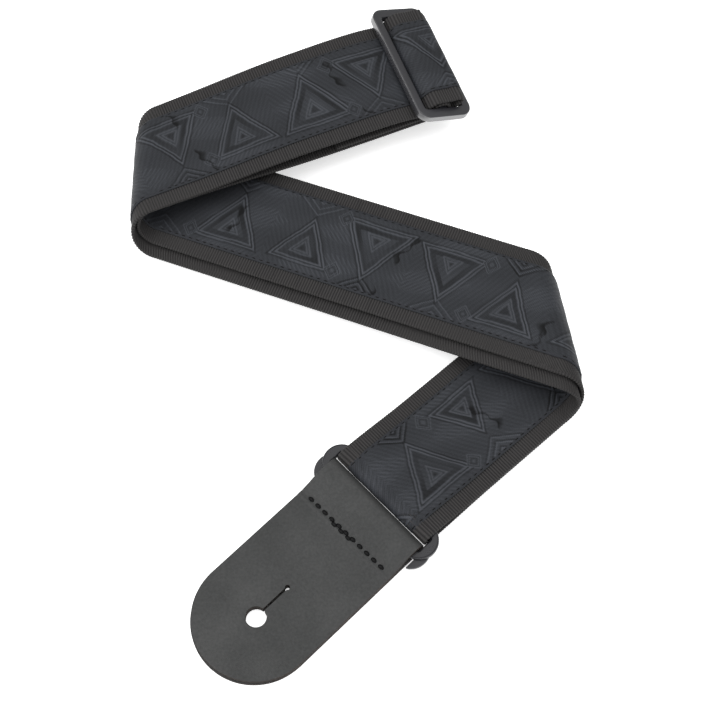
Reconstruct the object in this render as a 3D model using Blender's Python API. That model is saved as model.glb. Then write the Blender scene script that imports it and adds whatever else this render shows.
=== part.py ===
"""Guitar strap: doubled 50 mm webbing with a patterned ribbon, slider, ring and two leather end tabs.

It lies folded in a loose Z. All sizes below are millimetres and degrees. The strap is first described
straight, by the distance along it (u), across it (v) and off its middle surface (n). A short list of
bends then lays it on the table.
"""
import math

import bpy
import numpy as np
from mathutils import Matrix, Vector

MM = 0.001

# Webbing, ribbon and their stitching
WEBBING_WIDTH = 50.0
WEBBING_THICKNESS = 1.5
WEBBING_BORDER = 6.4
RIBBON_THICKNESS = 0.5
STITCH_WIDTH = 0.6
TOUCH_GAP = 0.3

# Where the strap lies
RING_BAR_X = 15.47
RING_BAR_Y = -75.66
RING_BAR_HEIGHT = 5.3
HEADING = 42.0
LOWER_PITCH = -1.55
LOWER_RUN_LENGTH = 89.0
MIDDLE_RUN_LENGTH = 204.0
UPPER_RUN_LENGTH = 148.4
RIGHT_FOLD_SLANT = -32.0
RIGHT_FOLD_RADIUS = 7.2
RIGHT_FOLD_TURN = 186.0
LEFT_FOLD_SLANT = -22.0
LEFT_FOLD_RADIUS = 6.8
LEFT_FOLD_TURN = 184.0
LAYER_SLIP = 5.0
UPPER_SLIP = 1.0
UPPER_TWIST = 3.2
TWIST_START = 10.0
TWIST_LENGTH = 90.0

# Half the space between the two layers, along the strap
RUN_HALF_SPACE = 0.15
MIDDLE_HALF_SPACE = 0.5
UPPER_HALF_SPACE = 2.8
RING_BAR_ROOM = 0.4
LOOP_SETBACK = 1.0
LOOP_TAPER = 28.5
UPPER_TAPER = 70.0

# Ring
RING_BAR_WIDTH = 4.3
RING_END_WIDTH = 4.2
RING_THICKNESS = 3.0
RING_BEVEL = 0.9
RING_SIDE_ROOM = 0.8
RING_WINDOW_ROOM = 0.5
RING_WINDOW_CORNER = 0.6
RING_TURN = 1.2
RING_TILT = 6.0
EAR_REACH = 4.6
EAR_THICKNESS = 2.2
EAR_DROP = 2.5
EAR_CLEARANCE = 1.2

# Slider
SLIDER_THICKNESS = 3.4
SLIDER_OUTER_BAR = 4.0
SLIDER_CENTRE_BAR = 4.0
SLIDER_CENTRE_THICKNESS = 2.2
SLIDER_WINDOW_LENGTH = 7.5
SLIDER_END_BAR = 4.0
SLIDER_SIDE_ROOM = 1.0
SLIDER_CORNER = 5.5
SLIDER_BEVEL = 0.7
SLIDER_TILT = 22.0
SLIDER_HEIGHT = 1.6
SLIDER_PLAY = 1.0
CENTRE_BAR_ROOM = 0.85

# Leather tabs
LEATHER_THICKNESS = 2.0
TAB_LENGTH = 91.0
TAB_TURN = 2.4
PLY_GAP = 0.3
BUTTON_HOLE_RADIUS = 4.1
BUTTON_HOLE_FROM_TIP = 25.0
SLIT_LENGTH = 13.0
SLIT_WIDTH = 0.9
SLIT_END_RADIUS = 1.0
TAB_STITCH_FROM_FOLD = 18.0
TAB_STITCH_HALF_LENGTH = 21.0

# Where the webbing folds back under the slider, and its tail in the far tab
HEM_LENGTH = 49.4
TAIL_LEVEL = -13.6
TAIL_RISE = 0.02
TAIL_SLIP = 8.0
TAIL_FROM_SLIDER = 4.0
TAIL_IN_TAB = 24.0

HALF_WIDTH = WEBBING_WIDTH / 2
RIBBON_HALF_WIDTH = HALF_WIDTH - WEBBING_BORDER
RING_HALF_SPACE = RING_THICKNESS / 2 + RING_BAR_ROOM
RING_WINDOW_LENGTH = RING_THICKNESS + WEBBING_THICKNESS + LEATHER_THICKNESS + RING_WINDOW_ROOM
RING_LENGTH = RING_WINDOW_LENGTH + 2 * RING_BAR_WIDTH
RING_WINDOW_WIDTH = WEBBING_WIDTH + 2 * RING_SIDE_ROOM
RING_WIDTH = RING_WINDOW_WIDTH + 2 * RING_END_WIDTH
SLIDER_LENGTH = SLIDER_CENTRE_BAR + 2 * SLIDER_WINDOW_LENGTH + 2 * SLIDER_OUTER_BAR
SLIDER_WINDOW_WIDTH = WEBBING_WIDTH + 2 * SLIDER_SIDE_ROOM
SLIDER_WIDTH = SLIDER_WINDOW_WIDTH + 2 * SLIDER_END_BAR
RIGHT_FOLD_AT = LOWER_RUN_LENGTH
LEFT_FOLD_AT = RIGHT_FOLD_AT + MIDDLE_RUN_LENGTH
SLIDER_AT = LEFT_FOLD_AT + UPPER_RUN_LENGTH
RIBBON_FROM = WEBBING_THICKNESS + TOUCH_GAP
RIBBON_TO = RIBBON_FROM + RIBBON_THICKNESS
STITCH_FROM = RIBBON_HALF_WIDTH + TOUCH_GAP
STITCH_TO = STITCH_FROM + STITCH_WIDTH

BLACK_WEBBING = ("webbing", (0.012, 0.012, 0.012, 1.0), 0.85)
DARK_RIBBON = ("ribbon", (0.018, 0.018, 0.022, 1.0), 0.6)
BLACK_THREAD = ("thread", (0.008, 0.008, 0.008, 1.0), 0.7)
DARK_LEATHER = ("leather", (0.03, 0.03, 0.03, 1.0), 0.55)
BLACK_PLASTIC = ("plastic", (0.015, 0.015, 0.018, 1.0), 0.35)


def smooth(value):
    value = min(max(value, 0.0), 1.0)
    return value * value * (3 - 2 * value)


def clear_scene():
    for item in list(bpy.data.objects):
        bpy.data.objects.remove(item)


def paint(item, look):
    slot, colour, roughness = look
    material = bpy.data.materials.new(slot + "_" + item.name)
    material.use_nodes = True
    shader = material.node_tree.nodes["Principled BSDF"]
    shader.inputs["Base Color"].default_value = colour
    shader.inputs["Roughness"].default_value = roughness
    item.data.materials.append(material)


def signed_volume(points, faces):
    total = 0.0
    for face in faces:
        first = points[face[0]]
        for second, third in zip(face[1:-1], face[2:]):
            total += np.dot(first, np.cross(points[second], points[third]))
    return total


def add_body(name, points, faces, look):
    """One closed body, with its faces turned outwards."""
    points = np.asarray(points, float)
    if signed_volume(points, faces) < 0:
        faces = [tuple(reversed(face)) for face in faces]
    mesh = bpy.data.meshes.new(name)
    mesh.from_pydata([tuple(point * MM) for point in points], [], faces)
    mesh.update()
    item = bpy.data.objects.new(name, mesh)
    bpy.context.scene.collection.objects.link(item)
    paint(item, look)
    return item


def loft(name, loops, look):
    """A closed body through loops of equal length, with both ends capped."""
    size = len(loops[0])
    points = [point for loop in loops for point in loop]
    faces = []
    for row in range(len(loops) - 1):
        for k in range(size):
            after = (k + 1) % size
            low = row * size
            high = low + size
            faces.append((low + k, low + after, high + after, high + k))
    faces.append(tuple(range(size))[::-1])
    last = (len(loops) - 1) * size
    faces.append(tuple(range(last, last + size)))
    return add_body(name, points, faces, look)


# ---------------------------------------------------------------- laying the strap

def bend_step(bend):
    """The rigid move of everything past one bend, as a matrix and an offset."""
    start, slant, radius, turn = bend
    sign = math.copysign(1.0, turn)
    size = abs(turn)
    across = np.array([math.cos(slant), math.sin(slant), 0.0])
    along = np.array([-math.sin(slant), math.cos(slant), 0.0])
    axes = np.stack([across, along, [0.0, 0.0, 1.0]], axis=1)
    cosine = math.cos(size)
    sine = math.sin(size)
    spin = np.array([[cosine, 0.0, -sine * sign], [0.0, 1.0, 0.0], [sine * sign, 0.0, cosine]])
    matrix = axes @ spin @ axes.T
    reach = radius * sine - radius * size * cosine
    rise = sign * (radius - radius * cosine) - radius * size * sine * sign
    origin = np.array([start, 0.0, 0.0])
    offset = origin + axes @ np.array([reach, 0.0, rise]) - matrix @ origin
    return matrix, offset


RIGHT_BEND = (
    RIGHT_FOLD_AT,
    math.radians(RIGHT_FOLD_SLANT),
    RIGHT_FOLD_RADIUS,
    math.radians(RIGHT_FOLD_TURN),
)
LEFT_BEND = (
    LEFT_FOLD_AT,
    math.radians(LEFT_FOLD_SLANT),
    LEFT_FOLD_RADIUS,
    -math.radians(LEFT_FOLD_TURN),
)
BENDS = (RIGHT_BEND, LEFT_BEND)
LEFT_FOLD_LENGTH = LEFT_FOLD_RADIUS * math.radians(LEFT_FOLD_TURN) / math.cos(math.radians(LEFT_FOLD_SLANT))


def frames_after_bends():
    matrix = np.eye(3)
    offset = np.zeros(3)
    frames = [(matrix, offset)]
    for bend in BENDS:
        step, shift = bend_step(bend)
        offset = matrix @ shift + offset
        matrix = matrix @ step
        frames.append((matrix, offset))
    return frames


FRAMES = frames_after_bends()


def table_turn():
    heading = math.radians(HEADING)
    pitch = -math.radians(LOWER_PITCH)
    turn = np.array([
        [math.cos(heading), -math.sin(heading), 0.0],
        [math.sin(heading), math.cos(heading), 0.0],
        [0.0, 0.0, 1.0],
    ])
    tip = np.array([
        [math.cos(pitch), 0.0, math.sin(pitch)],
        [0.0, 1.0, 0.0],
        [-math.sin(pitch), 0.0, math.cos(pitch)],
    ])
    return turn @ tip


TABLE_TURN = table_turn()
RING_BAR_POINT = np.array([RING_BAR_X, RING_BAR_Y, RING_BAR_HEIGHT])


def twist_at(u):
    """How far the upper run has turned about its own length, as a slope across it."""
    share = smooth((u - LEFT_FOLD_AT - TWIST_START - LEFT_FOLD_LENGTH) / TWIST_LENGTH)
    return math.tan(math.radians(UPPER_TWIST)) * share


def lay(u, v, n, twist=None):
    """The place on the table of one point of the straight strap."""
    if twist is None:
        twist = twist_at(u)
    n += twist * v
    point = np.array([u, v, n])
    stage = 0
    for bend in BENDS:
        start, slant, radius, turn = bend
        distance = (u - start) * math.cos(slant) + v * math.sin(slant)
        if distance <= 0.0:
            break
        if distance < radius * abs(turn):
            point = inside_bend(bend, distance, u, v, n)
            break
        stage += 1
    matrix, offset = FRAMES[stage]
    return TABLE_TURN @ (matrix @ point + offset) + RING_BAR_POINT


def inside_bend(bend, distance, u, v, n):
    start, slant, radius, turn = bend
    sign = math.copysign(1.0, turn)
    along = -(u - start) * math.sin(slant) + v * math.cos(slant)
    angle = distance / radius
    reach = (radius - sign * n) * math.sin(angle)
    rise = sign * (radius - (radius - sign * n) * math.cos(angle))
    return np.array([
        start + math.cos(slant) * reach - math.sin(slant) * along,
        math.sin(slant) * reach + math.cos(slant) * along,
        rise,
    ])


# ---------------------------------------------------------------- strips of webbing

def station(u, n, side, slant=0.0, slip=0.0, normal=None):
    """One cut across the strap: its inner face's place, the way out, its slant and sideways slip."""
    if normal is None:
        normal = (0.0, side)
    return (u, n, normal[0], normal[1], slant, slip)


def corner(cut, v, out):
    u, n, out_u, out_n, slant, slip = cut
    across = v + slip
    return lay(u + out * out_u - across * math.tan(slant), across, n + out * out_n)


def strip(name, cuts, v_low, v_high, out_low, out_high, look):
    loops = []
    for cut in cuts:
        loops.append([
            corner(cut, v_low, out_low),
            corner(cut, v_high, out_low),
            corner(cut, v_high, out_high),
            corner(cut, v_low, out_high),
        ])
    return loft(name, loops, look)


def dressed_strip(name, cuts, ribbon_cuts):
    """Webbing with its ribbon and the ribbon's two rows of stitching."""
    strip(name + "_webbing", cuts, -HALF_WIDTH, HALF_WIDTH, 0.0, WEBBING_THICKNESS, BLACK_WEBBING)
    half = RIBBON_HALF_WIDTH
    strip(name + "_ribbon", ribbon_cuts, -half, half, RIBBON_FROM, RIBBON_TO, DARK_RIBBON)
    for side, label in ((1, "a"), (-1, "b")):
        low, high = sorted((side * STITCH_FROM, side * STITCH_TO))
        row = name + "_stitch_row_" + label
        strip(row, ribbon_cuts, low, high, RIBBON_FROM, RIBBON_TO, BLACK_THREAD)


def between(low, high, count):
    return [low + (high - low) * k / (count - 1) for k in range(count)]


def with_normals(path, side):
    """Way-out normals for a path of (u, n) points, on its left for side 1 and right for -1."""
    cuts = []
    last = len(path) - 1
    for k, (u, n) in enumerate(path):
        before = path[max(k - 1, 0)]
        after = path[min(k + 1, last)]
        step_u = after[0] - before[0]
        step_n = after[1] - before[1]
        size = math.hypot(step_u, step_n)
        normal = (-side * step_n / size, side * step_u / size)
        cuts.append(station(u, n, side, normal=normal))
    return cuts


def rounded_path(corners, count):
    """A smooth curve through the corners, count points to each stretch."""
    points = [np.array(place, float) for place in corners]
    ends = [2 * points[0] - points[1]] + points + [2 * points[-1] - points[-2]]
    curve = []
    for k in range(len(points) - 1):
        first, second, third, fourth = ends[k:k + 4]
        for step in range(count):
            share = step / count
            square = share * share
            cube = square * share
            curve.append(tuple(0.5 * (
                2 * second
                + (third - first) * share
                + (2 * first - 5 * second + 4 * third - fourth) * square
                + (3 * second - first - 3 * third + fourth) * cube
            )))
    curve.append(tuple(points[-1]))
    return curve


RIGHT_SLANT = math.radians(RIGHT_FOLD_SLANT)
LEFT_SLANT = math.radians(LEFT_FOLD_SLANT)
RIGHT_ARC = RIGHT_FOLD_RADIUS * math.radians(RIGHT_FOLD_TURN)
RIGHT_FOLD_END = RIGHT_FOLD_AT + RIGHT_ARC / math.cos(RIGHT_SLANT)
LEFT_FOLD_END = LEFT_FOLD_AT + LEFT_FOLD_LENGTH
CUT_GAP = 0.35
SLANT_REACH = 14.0


def lower_run():
    """Both layers of the lower run and the loop that joins them round the ring's bar."""
    edge = RIGHT_FOLD_AT - CUT_GAP
    centre = -LOOP_SETBACK
    upper = []
    for u in between(1.5, 1.5 + LOOP_TAPER, 6):
        share = 1 - smooth((u - 1.5) / LOOP_TAPER)
        upper.append((u, RUN_HALF_SPACE + (RING_HALF_SPACE - RUN_HALF_SPACE) * share))
    cuts = [station(edge, RUN_HALF_SPACE, 1, RIGHT_SLANT)]
    cuts += [station(u, n, 1) for u, n in reversed(upper)]
    for angle in between(90.0, 270.0, 9):
        way = (math.cos(math.radians(angle)), math.sin(math.radians(angle)))
        cuts.append(station(centre + RING_HALF_SPACE * way[0], RING_HALF_SPACE * way[1], 1, normal=way))
    cuts += [station(u, -n, -1) for u, n in upper]
    cuts.append(station(edge, -RUN_HALF_SPACE, -1, RIGHT_SLANT))
    dressed_strip("lower_run", cuts, cuts)


def fold(name, bend, side, slips, half_spaces):
    start, slant, radius, turn = bend
    arc = radius * abs(turn)
    cuts = []
    for distance in between(0.0, arc, 15):
        share = smooth(distance / arc)
        slip = slips[0] + (slips[1] - slips[0]) * share
        space = half_spaces[0] + (half_spaces[1] - half_spaces[0]) * share
        u = start + distance / math.cos(slant)
        cuts.append(station(u, side * space, side, slant, slip))
    dressed_strip(name, cuts, cuts)


def middle_run(name, side, slip):
    start = RIGHT_FOLD_END + CUT_GAP
    end = LEFT_FOLD_AT - CUT_GAP
    cuts = [
        station(start, side * MIDDLE_HALF_SPACE, side, RIGHT_SLANT, slip),
        station((start + end) / 2, side * MIDDLE_HALF_SPACE, side, 0.0, slip),
        station(end, side * MIDDLE_HALF_SPACE, side, LEFT_SLANT, slip),
    ]
    dressed_strip(name, cuts, cuts)


# ---------------------------------------------------------------- the upper run and its slider

def on_slider(x, z):
    """A place given in the slider's own plane, as (u, n) of the upper run."""
    tilt = math.radians(SLIDER_TILT)
    u = SLIDER_AT + x * math.cos(tilt) + z * math.sin(tilt)
    n = SLIDER_HEIGHT - x * math.sin(tilt) + z * math.cos(tilt)
    return (u, n)


HALF_SLIDER = SLIDER_THICKNESS / 2
HALF_CENTRE_BAR = SLIDER_CENTRE_BAR / 2
WINDOW_EDGE = HALF_CENTRE_BAR + SLIDER_WINDOW_LENGTH
WRAP_LONG = HALF_CENTRE_BAR + CENTRE_BAR_ROOM
WRAP_HIGH = SLIDER_CENTRE_THICKNESS / 2 + CENTRE_BAR_ROOM
UNDER_BAR = -HALF_SLIDER - SLIDER_PLAY - RIBBON_TO
OVER_BAR = WRAP_HIGH + WEBBING_THICKNESS + TOUCH_GAP
# Where the upper layer's inner face rises through the middle of a window
RISE = (WRAP_LONG + WEBBING_THICKNESS + WINDOW_EDGE - RIBBON_TO) / 2
FAR_TAB_START = SLIDER_AT - TAIL_FROM_SLIDER
TAIL_END = FAR_TAB_START - TAIL_IN_TAB
HEM_END = SLIDER_AT - HEM_LENGTH


def tail_level(u):
    return TAIL_LEVEL + TAIL_RISE * (SLIDER_AT - u)


def upper_layer_path():
    """The inner face of the upper layer, over the slider's centre bar and folded back to the far tab.

    It also gives the number of the point where the layer has left the slider.
    """
    low = [(u, half_space_above(u)) for u in between(LEFT_FOLD_END + SLANT_REACH, SLIDER_AT - 34.0, 6)]
    low.append((SLIDER_AT - 22.0, UPPER_HALF_SPACE - 0.5))
    through = [
        on_slider(-WINDOW_EDGE - 3.5, UNDER_BAR - 0.6),
        on_slider(-WINDOW_EDGE, UNDER_BAR),
        on_slider(-RISE - 1.4, UNDER_BAR + 1.0),
        on_slider(-RISE - 0.2, -1.6),
        on_slider(-RISE + 0.5, 0.8),
        on_slider(-RISE + 2.2, OVER_BAR - 0.8),
        on_slider(-0.5, OVER_BAR + 0.1),
        on_slider(3.2, OVER_BAR + 0.6),
        on_slider(RISE + 0.3, OVER_BAR + 1.3),
        on_slider(RISE + 1.8, OVER_BAR + 1.3),
        on_slider(RISE + 2.3, OVER_BAR + 0.6),
        on_slider(RISE + 2.0, OVER_BAR - 0.1),
        on_slider(RISE + 1.2, HALF_SLIDER + 0.9),
        on_slider(RISE + 0.5, HALF_SLIDER - 0.5),
        on_slider(RISE + 0.3, -0.8),
        on_slider(RISE, -3.2),
    ]
    left_at = 3 * (len(low) + len(through) - 1)
    under = [
        (SLIDER_AT + 4.2, TAIL_LEVEL / 2),
        (SLIDER_AT + 3.2, TAIL_LEVEL * 0.77),
        (SLIDER_AT + 0.8, TAIL_LEVEL + 0.7),
        (FAR_TAB_START + 1.5, tail_level(FAR_TAB_START + 1.5)),
        (FAR_TAB_START - 2.0, tail_level(FAR_TAB_START - 2.0)),
    ]
    path = rounded_path(low + through + under, 3)
    path.append((TAIL_END, tail_level(TAIL_END)))
    return path, left_at


def half_space_above(u):
    share = smooth((u - LEFT_FOLD_END) / UPPER_TAPER)
    return RUN_HALF_SPACE + (UPPER_HALF_SPACE - RUN_HALF_SPACE) * share


def slipped(cuts, slip_at):
    moved = []
    for index, cut in enumerate(cuts):
        moved.append(cut[:5] + (slip_at(cut, index),))
    return moved


def upper_layer():
    path, left_at = upper_layer_path()
    cuts = with_normals(path, 1)
    reach = len(path) - 3 - left_at

    def slip_at(cut, index):
        if index > left_at:
            return TAIL_SLIP * smooth((index - left_at) / reach)
        return -UPPER_SLIP * (1 - smooth((cut[0] - LEFT_FOLD_END) / UPPER_TAPER))

    first = station(LEFT_FOLD_END + CUT_GAP, RUN_HALF_SPACE, 1, LEFT_SLANT, -UPPER_SLIP)
    cuts = [first] + slipped(cuts, slip_at)
    dressed_strip("upper_layer", cuts, cuts[:-4])


def lower_layer_path():
    """The lower layer runs to the slider, turns round its centre bar and goes back as a hem."""
    run = [(u, -half_space_above(u)) for u in between(LEFT_FOLD_END + SLANT_REACH, SLIDER_AT - 26.0, 7)]
    under = [
        (SLIDER_AT - 15.0, -UPPER_HALF_SPACE + 0.1),
        (SLIDER_AT - 9.0, -UPPER_HALF_SPACE + 0.3),
        (SLIDER_AT - 5.5, -UPPER_HALF_SPACE + 1.0),
        on_slider(-1.6, -WRAP_HIGH - 0.9),
    ]
    wrap = []
    for angle in between(-75.0, 180.0, 12):
        radians = math.radians(angle)
        wrap.append(on_slider(WRAP_LONG * math.cos(radians), WRAP_HIGH * math.sin(radians)))
    hem = -UPPER_HALF_SPACE + 2 * TOUCH_GAP
    back = [
        on_slider(-WRAP_LONG - 0.4, -1.0),
        (SLIDER_AT - 5.8, hem + 1.5),
        (SLIDER_AT - 9.5, hem + 0.2),
        (SLIDER_AT - 16.0, hem),
        (HEM_END, hem),
    ]
    return rounded_path(run + under, 3) + wrap + rounded_path([wrap[-1]] + back, 3)[1:]


def lower_layer():
    path = lower_layer_path()
    first = station(LEFT_FOLD_END + CUT_GAP, -RUN_HALF_SPACE, -1, LEFT_SLANT)
    cuts = [first] + with_normals(path, -1)
    ribbon_cuts = []
    for cut in cuts:
        if cut[0] > SLIDER_AT - 12.0:
            break
        ribbon_cuts.append(cut)
    dressed_strip("lower_layer", cuts, ribbon_cuts)


# ---------------------------------------------------------------- slider

def rounded_outline(half_x, half_y, radius, steps=6):
    places = []
    for centre_x, centre_y, first in (
        (half_x - radius, half_y - radius, 0.0),
        (-half_x + radius, half_y - radius, 90.0),
        (-half_x + radius, -half_y + radius, 180.0),
        (half_x - radius, -half_y + radius, 270.0),
    ):
        for angle in between(first, first + 90.0, steps):
            radians = math.radians(angle)
            places.append((centre_x + radius * math.cos(radians), centre_y + radius * math.sin(radians)))
    return places


def plate_loops(half_x, half_y, radius, levels, place):
    """Loops of a rounded plate: each level is its height and how far its outline is drawn in."""
    loops = []
    for height, inset in levels:
        outline = rounded_outline(half_x - inset, half_y - inset, max(radius - inset, 0.3))
        loops.append([place(x, y, height) for x, y in outline])
    return loops


def slider_place(x, y, z):
    u, n = on_slider(x, z)
    return lay(u, y, n)


def cut_with(item, name, loops):
    """Cuts a closed lofted shape out of the item."""
    cutter = loft(name, loops, BLACK_PLASTIC)
    cutter.hide_render = True
    cutter.display_type = "WIRE"
    modifier = item.modifiers.new(name, "BOOLEAN")
    modifier.operation = "DIFFERENCE"
    modifier.solver = "EXACT"
    modifier.object = cutter


def slider():
    half = HALF_SLIDER
    levels = [(-half, SLIDER_BEVEL), (-half + SLIDER_BEVEL, 0.0), (half - SLIDER_BEVEL, 0.0), (half, SLIDER_BEVEL)]
    loops = plate_loops(SLIDER_LENGTH / 2, SLIDER_WIDTH / 2, SLIDER_CORNER, levels, slider_place)
    item = loft("slider", loops, BLACK_PLASTIC)
    middle = (SLIDER_CENTRE_BAR + SLIDER_WINDOW_LENGTH) / 2
    flare = 0.5
    reach = half + flare
    steps = [(-reach, -2 * flare), (-half + flare, 0.0), (half - flare, 0.0), (reach, -2 * flare)]
    for side, label in ((-1, "left"), (1, "right")):
        def place(x, y, z, shift=side * middle):
            return slider_place(x + shift, y, z)
        loops = plate_loops(SLIDER_WINDOW_LENGTH / 2, SLIDER_WINDOW_WIDTH / 2, 1.5, steps, place)
        cut_with(item, "slider_window_" + label, loops)
        low, high = sorted((side * SLIDER_CENTRE_THICKNESS / 2, side * (half + 1.0)))
        loops = plate_loops(WINDOW_EDGE - 0.5, SLIDER_WINDOW_WIDTH / 2, 1.5, [(low, 0.0), (high, 0.0)], slider_place)
        cut_with(item, "slider_centre_" + label, loops)


# ---------------------------------------------------------------- ring

RING_SHIFT = -(RING_LENGTH - RING_BAR_WIDTH) / 2


def ring_place(x, y, z):
    """A place in the ring's plane: x from the webbing bar towards the strap, y across, z up."""
    tilt = math.radians(RING_TILT)
    turned_x = x * math.cos(tilt) - z * math.sin(tilt)
    turned_z = z * math.cos(tilt) + x * math.sin(tilt)
    heading = math.radians(HEADING + RING_TURN)
    return RING_BAR_POINT + np.array([
        turned_x * math.cos(heading) - y * math.sin(heading),
        turned_x * math.sin(heading) + y * math.cos(heading),
        turned_z,
    ])


def ring_outlines():
    """Matching points of the ring's outer outline and its window, all the way round."""
    outer_radius = RING_LENGTH / 2
    straight = RING_WIDTH / 2 - outer_radius
    window_x = outer_radius - RING_BAR_WIDTH
    window_y = RING_WINDOW_WIDTH / 2
    corner_y = window_y - RING_WINDOW_CORNER
    corner_x = window_x - RING_WINDOW_CORNER
    quarter = []
    for step, angle in enumerate(between(0.0, 90.0, 9)):
        radians = math.radians(angle)
        outer = (outer_radius * math.cos(radians), straight + outer_radius * math.sin(radians))
        if step < 4:
            inner = (window_x, straight + (corner_y - straight) * step / 3)
        else:
            inner = (corner_x * (8 - step) / 4, window_y)
        quarter.append((outer, inner))
    back = [((-o[0], o[1]), (-i[0], i[1])) for o, i in reversed(quarter[:-1])]
    half = quarter + back
    other = [((-o[0], -o[1]), (-i[0], -i[1])) for o, i in half]
    return half + other


def ring_section(outer, inner):
    """Eight points round the ring's section between one inner and one outer point."""
    bevel = RING_BEVEL
    high = RING_THICKNESS / 2
    reach = np.array(outer) - np.array(inner)
    size = np.linalg.norm(reach)
    share = bevel / size
    steps = [
        (1.0, -high + bevel), (1.0, high - bevel), (1.0 - share, high), (share, high),
        (0.0, high - bevel), (0.0, -high + bevel), (share, -high), (1.0 - share, -high),
    ]
    places = [np.array(inner) + reach * part for part, _ in steps]
    return [ring_place(RING_SHIFT + place[0], place[1], z) for place, (_, z) in zip(places, steps)]


def ring():
    loops = [ring_section(outer, inner) for outer, inner in ring_outlines()]
    size = len(loops[0])
    points = [point for loop in loops for point in loop]
    faces = []
    for row in range(len(loops)):
        low = row * size
        high = ((row + 1) % len(loops)) * size
        for k in range(size):
            after = (k + 1) % size
            faces.append((low + k, low + after, high + after, high + k))
    item = add_body("ring", points, faces, BLACK_PLASTIC)
    for side, label in ((1, "left"), (-1, "right")):
        add_ear(item, side, label)


def add_ear(item, side, label):
    """The lower lip that shows behind each end of the ring, outside the leather."""
    radius = RING_LENGTH / 2
    straight = RING_WIDTH / 2 - radius
    first = math.degrees(math.asin((HALF_WIDTH + EAR_CLEARANCE - straight) / radius))
    outline = []
    for angle in between(first, 180.0 - first, 15):
        radians = math.radians(angle)
        x = RING_SHIFT - EAR_REACH + radius * math.cos(radians)
        outline.append((x, side * (straight + radius * math.sin(radians))))
    loops = []
    for z in (-EAR_DROP, -EAR_DROP + EAR_THICKNESS):
        loops.append([ring_place(x, y, z) for x, y in outline])
    ear = loft("ring_ear_" + label, loops, BLACK_PLASTIC)
    ear.hide_render = True
    ear.display_type = "WIRE"
    modifier = item.modifiers.new("ring_ear_" + label, "BOOLEAN")
    modifier.operation = "UNION"
    modifier.solver = "EXACT"
    modifier.object = ear


# ---------------------------------------------------------------- leather tab at the ring

LEATHER_BAR_X = RING_SHIFT * 2
TAB_INNER = RING_THICKNESS / 2 + TOUCH_GAP + 0.1


def leather_bar_height():
    return RING_BAR_HEIGHT + LEATHER_BAR_X * math.sin(math.radians(RING_TILT))


def tab_place(t, y, z):
    """A place on the ring's tab: t from the leather bar's centre towards the tip, z above the table."""
    start = ring_place(LEATHER_BAR_X, 0.0, 0.0)
    heading = math.radians(HEADING + TAB_TURN)
    return np.array([
        start[0] - t * math.cos(heading) - y * math.sin(heading),
        start[1] - t * math.sin(heading) + y * math.cos(heading),
        z,
    ])


FOLD_CENTRE_T = 1.0
TAB_FRONT = -FOLD_CENTRE_T - TAB_INNER - LEATHER_THICKNESS
TAB_TIP = TAB_FRONT + TAB_LENGTH


def tab_rows():
    """Rows of the folded leather: inner place, way out, and how far along the tab it is."""
    level = leather_bar_height()
    flat = LEATHER_THICKNESS
    rows = []
    ends = [TAB_TIP - HALF_WIDTH + HALF_WIDTH * math.sin(math.radians(angle))
            for angle in (86.0, 78.0, 70.0, 62.0, 54.0, 45.0, 36.0, 24.0, 12.0, 0.0)]
    near = [TAB_FRONT + TAB_STITCH_FROM_FOLD + 4.0 - k * 4.0 for k in range(5)]
    for t in ends + near:
        rise = smooth((TAB_FRONT + TAB_STITCH_FROM_FOLD + 2.0 - t) / (TAB_STITCH_FROM_FOLD - 4.0))
        rows.append((t, flat + PLY_GAP + (level + TAB_INNER - flat - PLY_GAP) * rise, 0.0, 1.0))
    for angle in between(90.0, 270.0, 9):
        radians = math.radians(angle)
        rows.append((
            -FOLD_CENTRE_T + TAB_INNER * math.cos(radians),
            level + TAB_INNER * math.sin(radians),
            math.cos(radians),
            math.sin(radians),
        ))
    for t in reversed(ends + near):
        drop = smooth((TAB_FRONT + TAB_STITCH_FROM_FOLD + 2.0 - t) / (TAB_STITCH_FROM_FOLD - 4.0))
        rows.append((t, flat + (level - TAB_INNER - flat) * drop, 0.0, -1.0))
    return rows


def tab_half_width(t):
    beyond = t - (TAB_TIP - HALF_WIDTH)
    if beyond <= 0.0:
        return HALF_WIDTH
    return math.sqrt(max(HALF_WIDTH * HALF_WIDTH - beyond * beyond, 1.0))


def leather_loops(rows, place):
    loops = []
    for t, z, out_t, out_z in rows:
        half = tab_half_width(t)
        far_t = t + LEATHER_THICKNESS * out_t
        far_z = z + LEATHER_THICKNESS * out_z
        loops.append([
            place(t, -half, z), place(t, half, z), place(far_t, half, far_z), place(far_t, -half, far_z),
        ])
    return loops


def cut_button_hole(item, place, low, high, hole_t):
    """The round button hole, its slit towards the strap and the slit's small round end."""
    circle = [(BUTTON_HOLE_RADIUS * math.cos(a), BUTTON_HOLE_RADIUS * math.sin(a))
              for a in (math.radians(angle) for angle in range(0, 360, 15))]
    loops = [[place(hole_t + x, y, z) for x, y in circle] for z in (low, high)]
    cut_with(item, item.name + "_hole", loops)
    half = SLIT_WIDTH / 2
    start = hole_t - BUTTON_HOLE_RADIUS + 0.5
    end = start - SLIT_LENGTH
    outline = [(start, -half), (start, half)]
    for angle in between(30.0, 330.0, 9):
        radians = math.radians(angle)
        outline.append((end + SLIT_END_RADIUS * math.cos(radians), SLIT_END_RADIUS * math.sin(radians)))
    loops = [[place(t, y, z) for t, y in outline] for z in (low - 0.1, high + 0.1)]
    cut_with(item, item.name + "_slit", loops)


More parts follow.
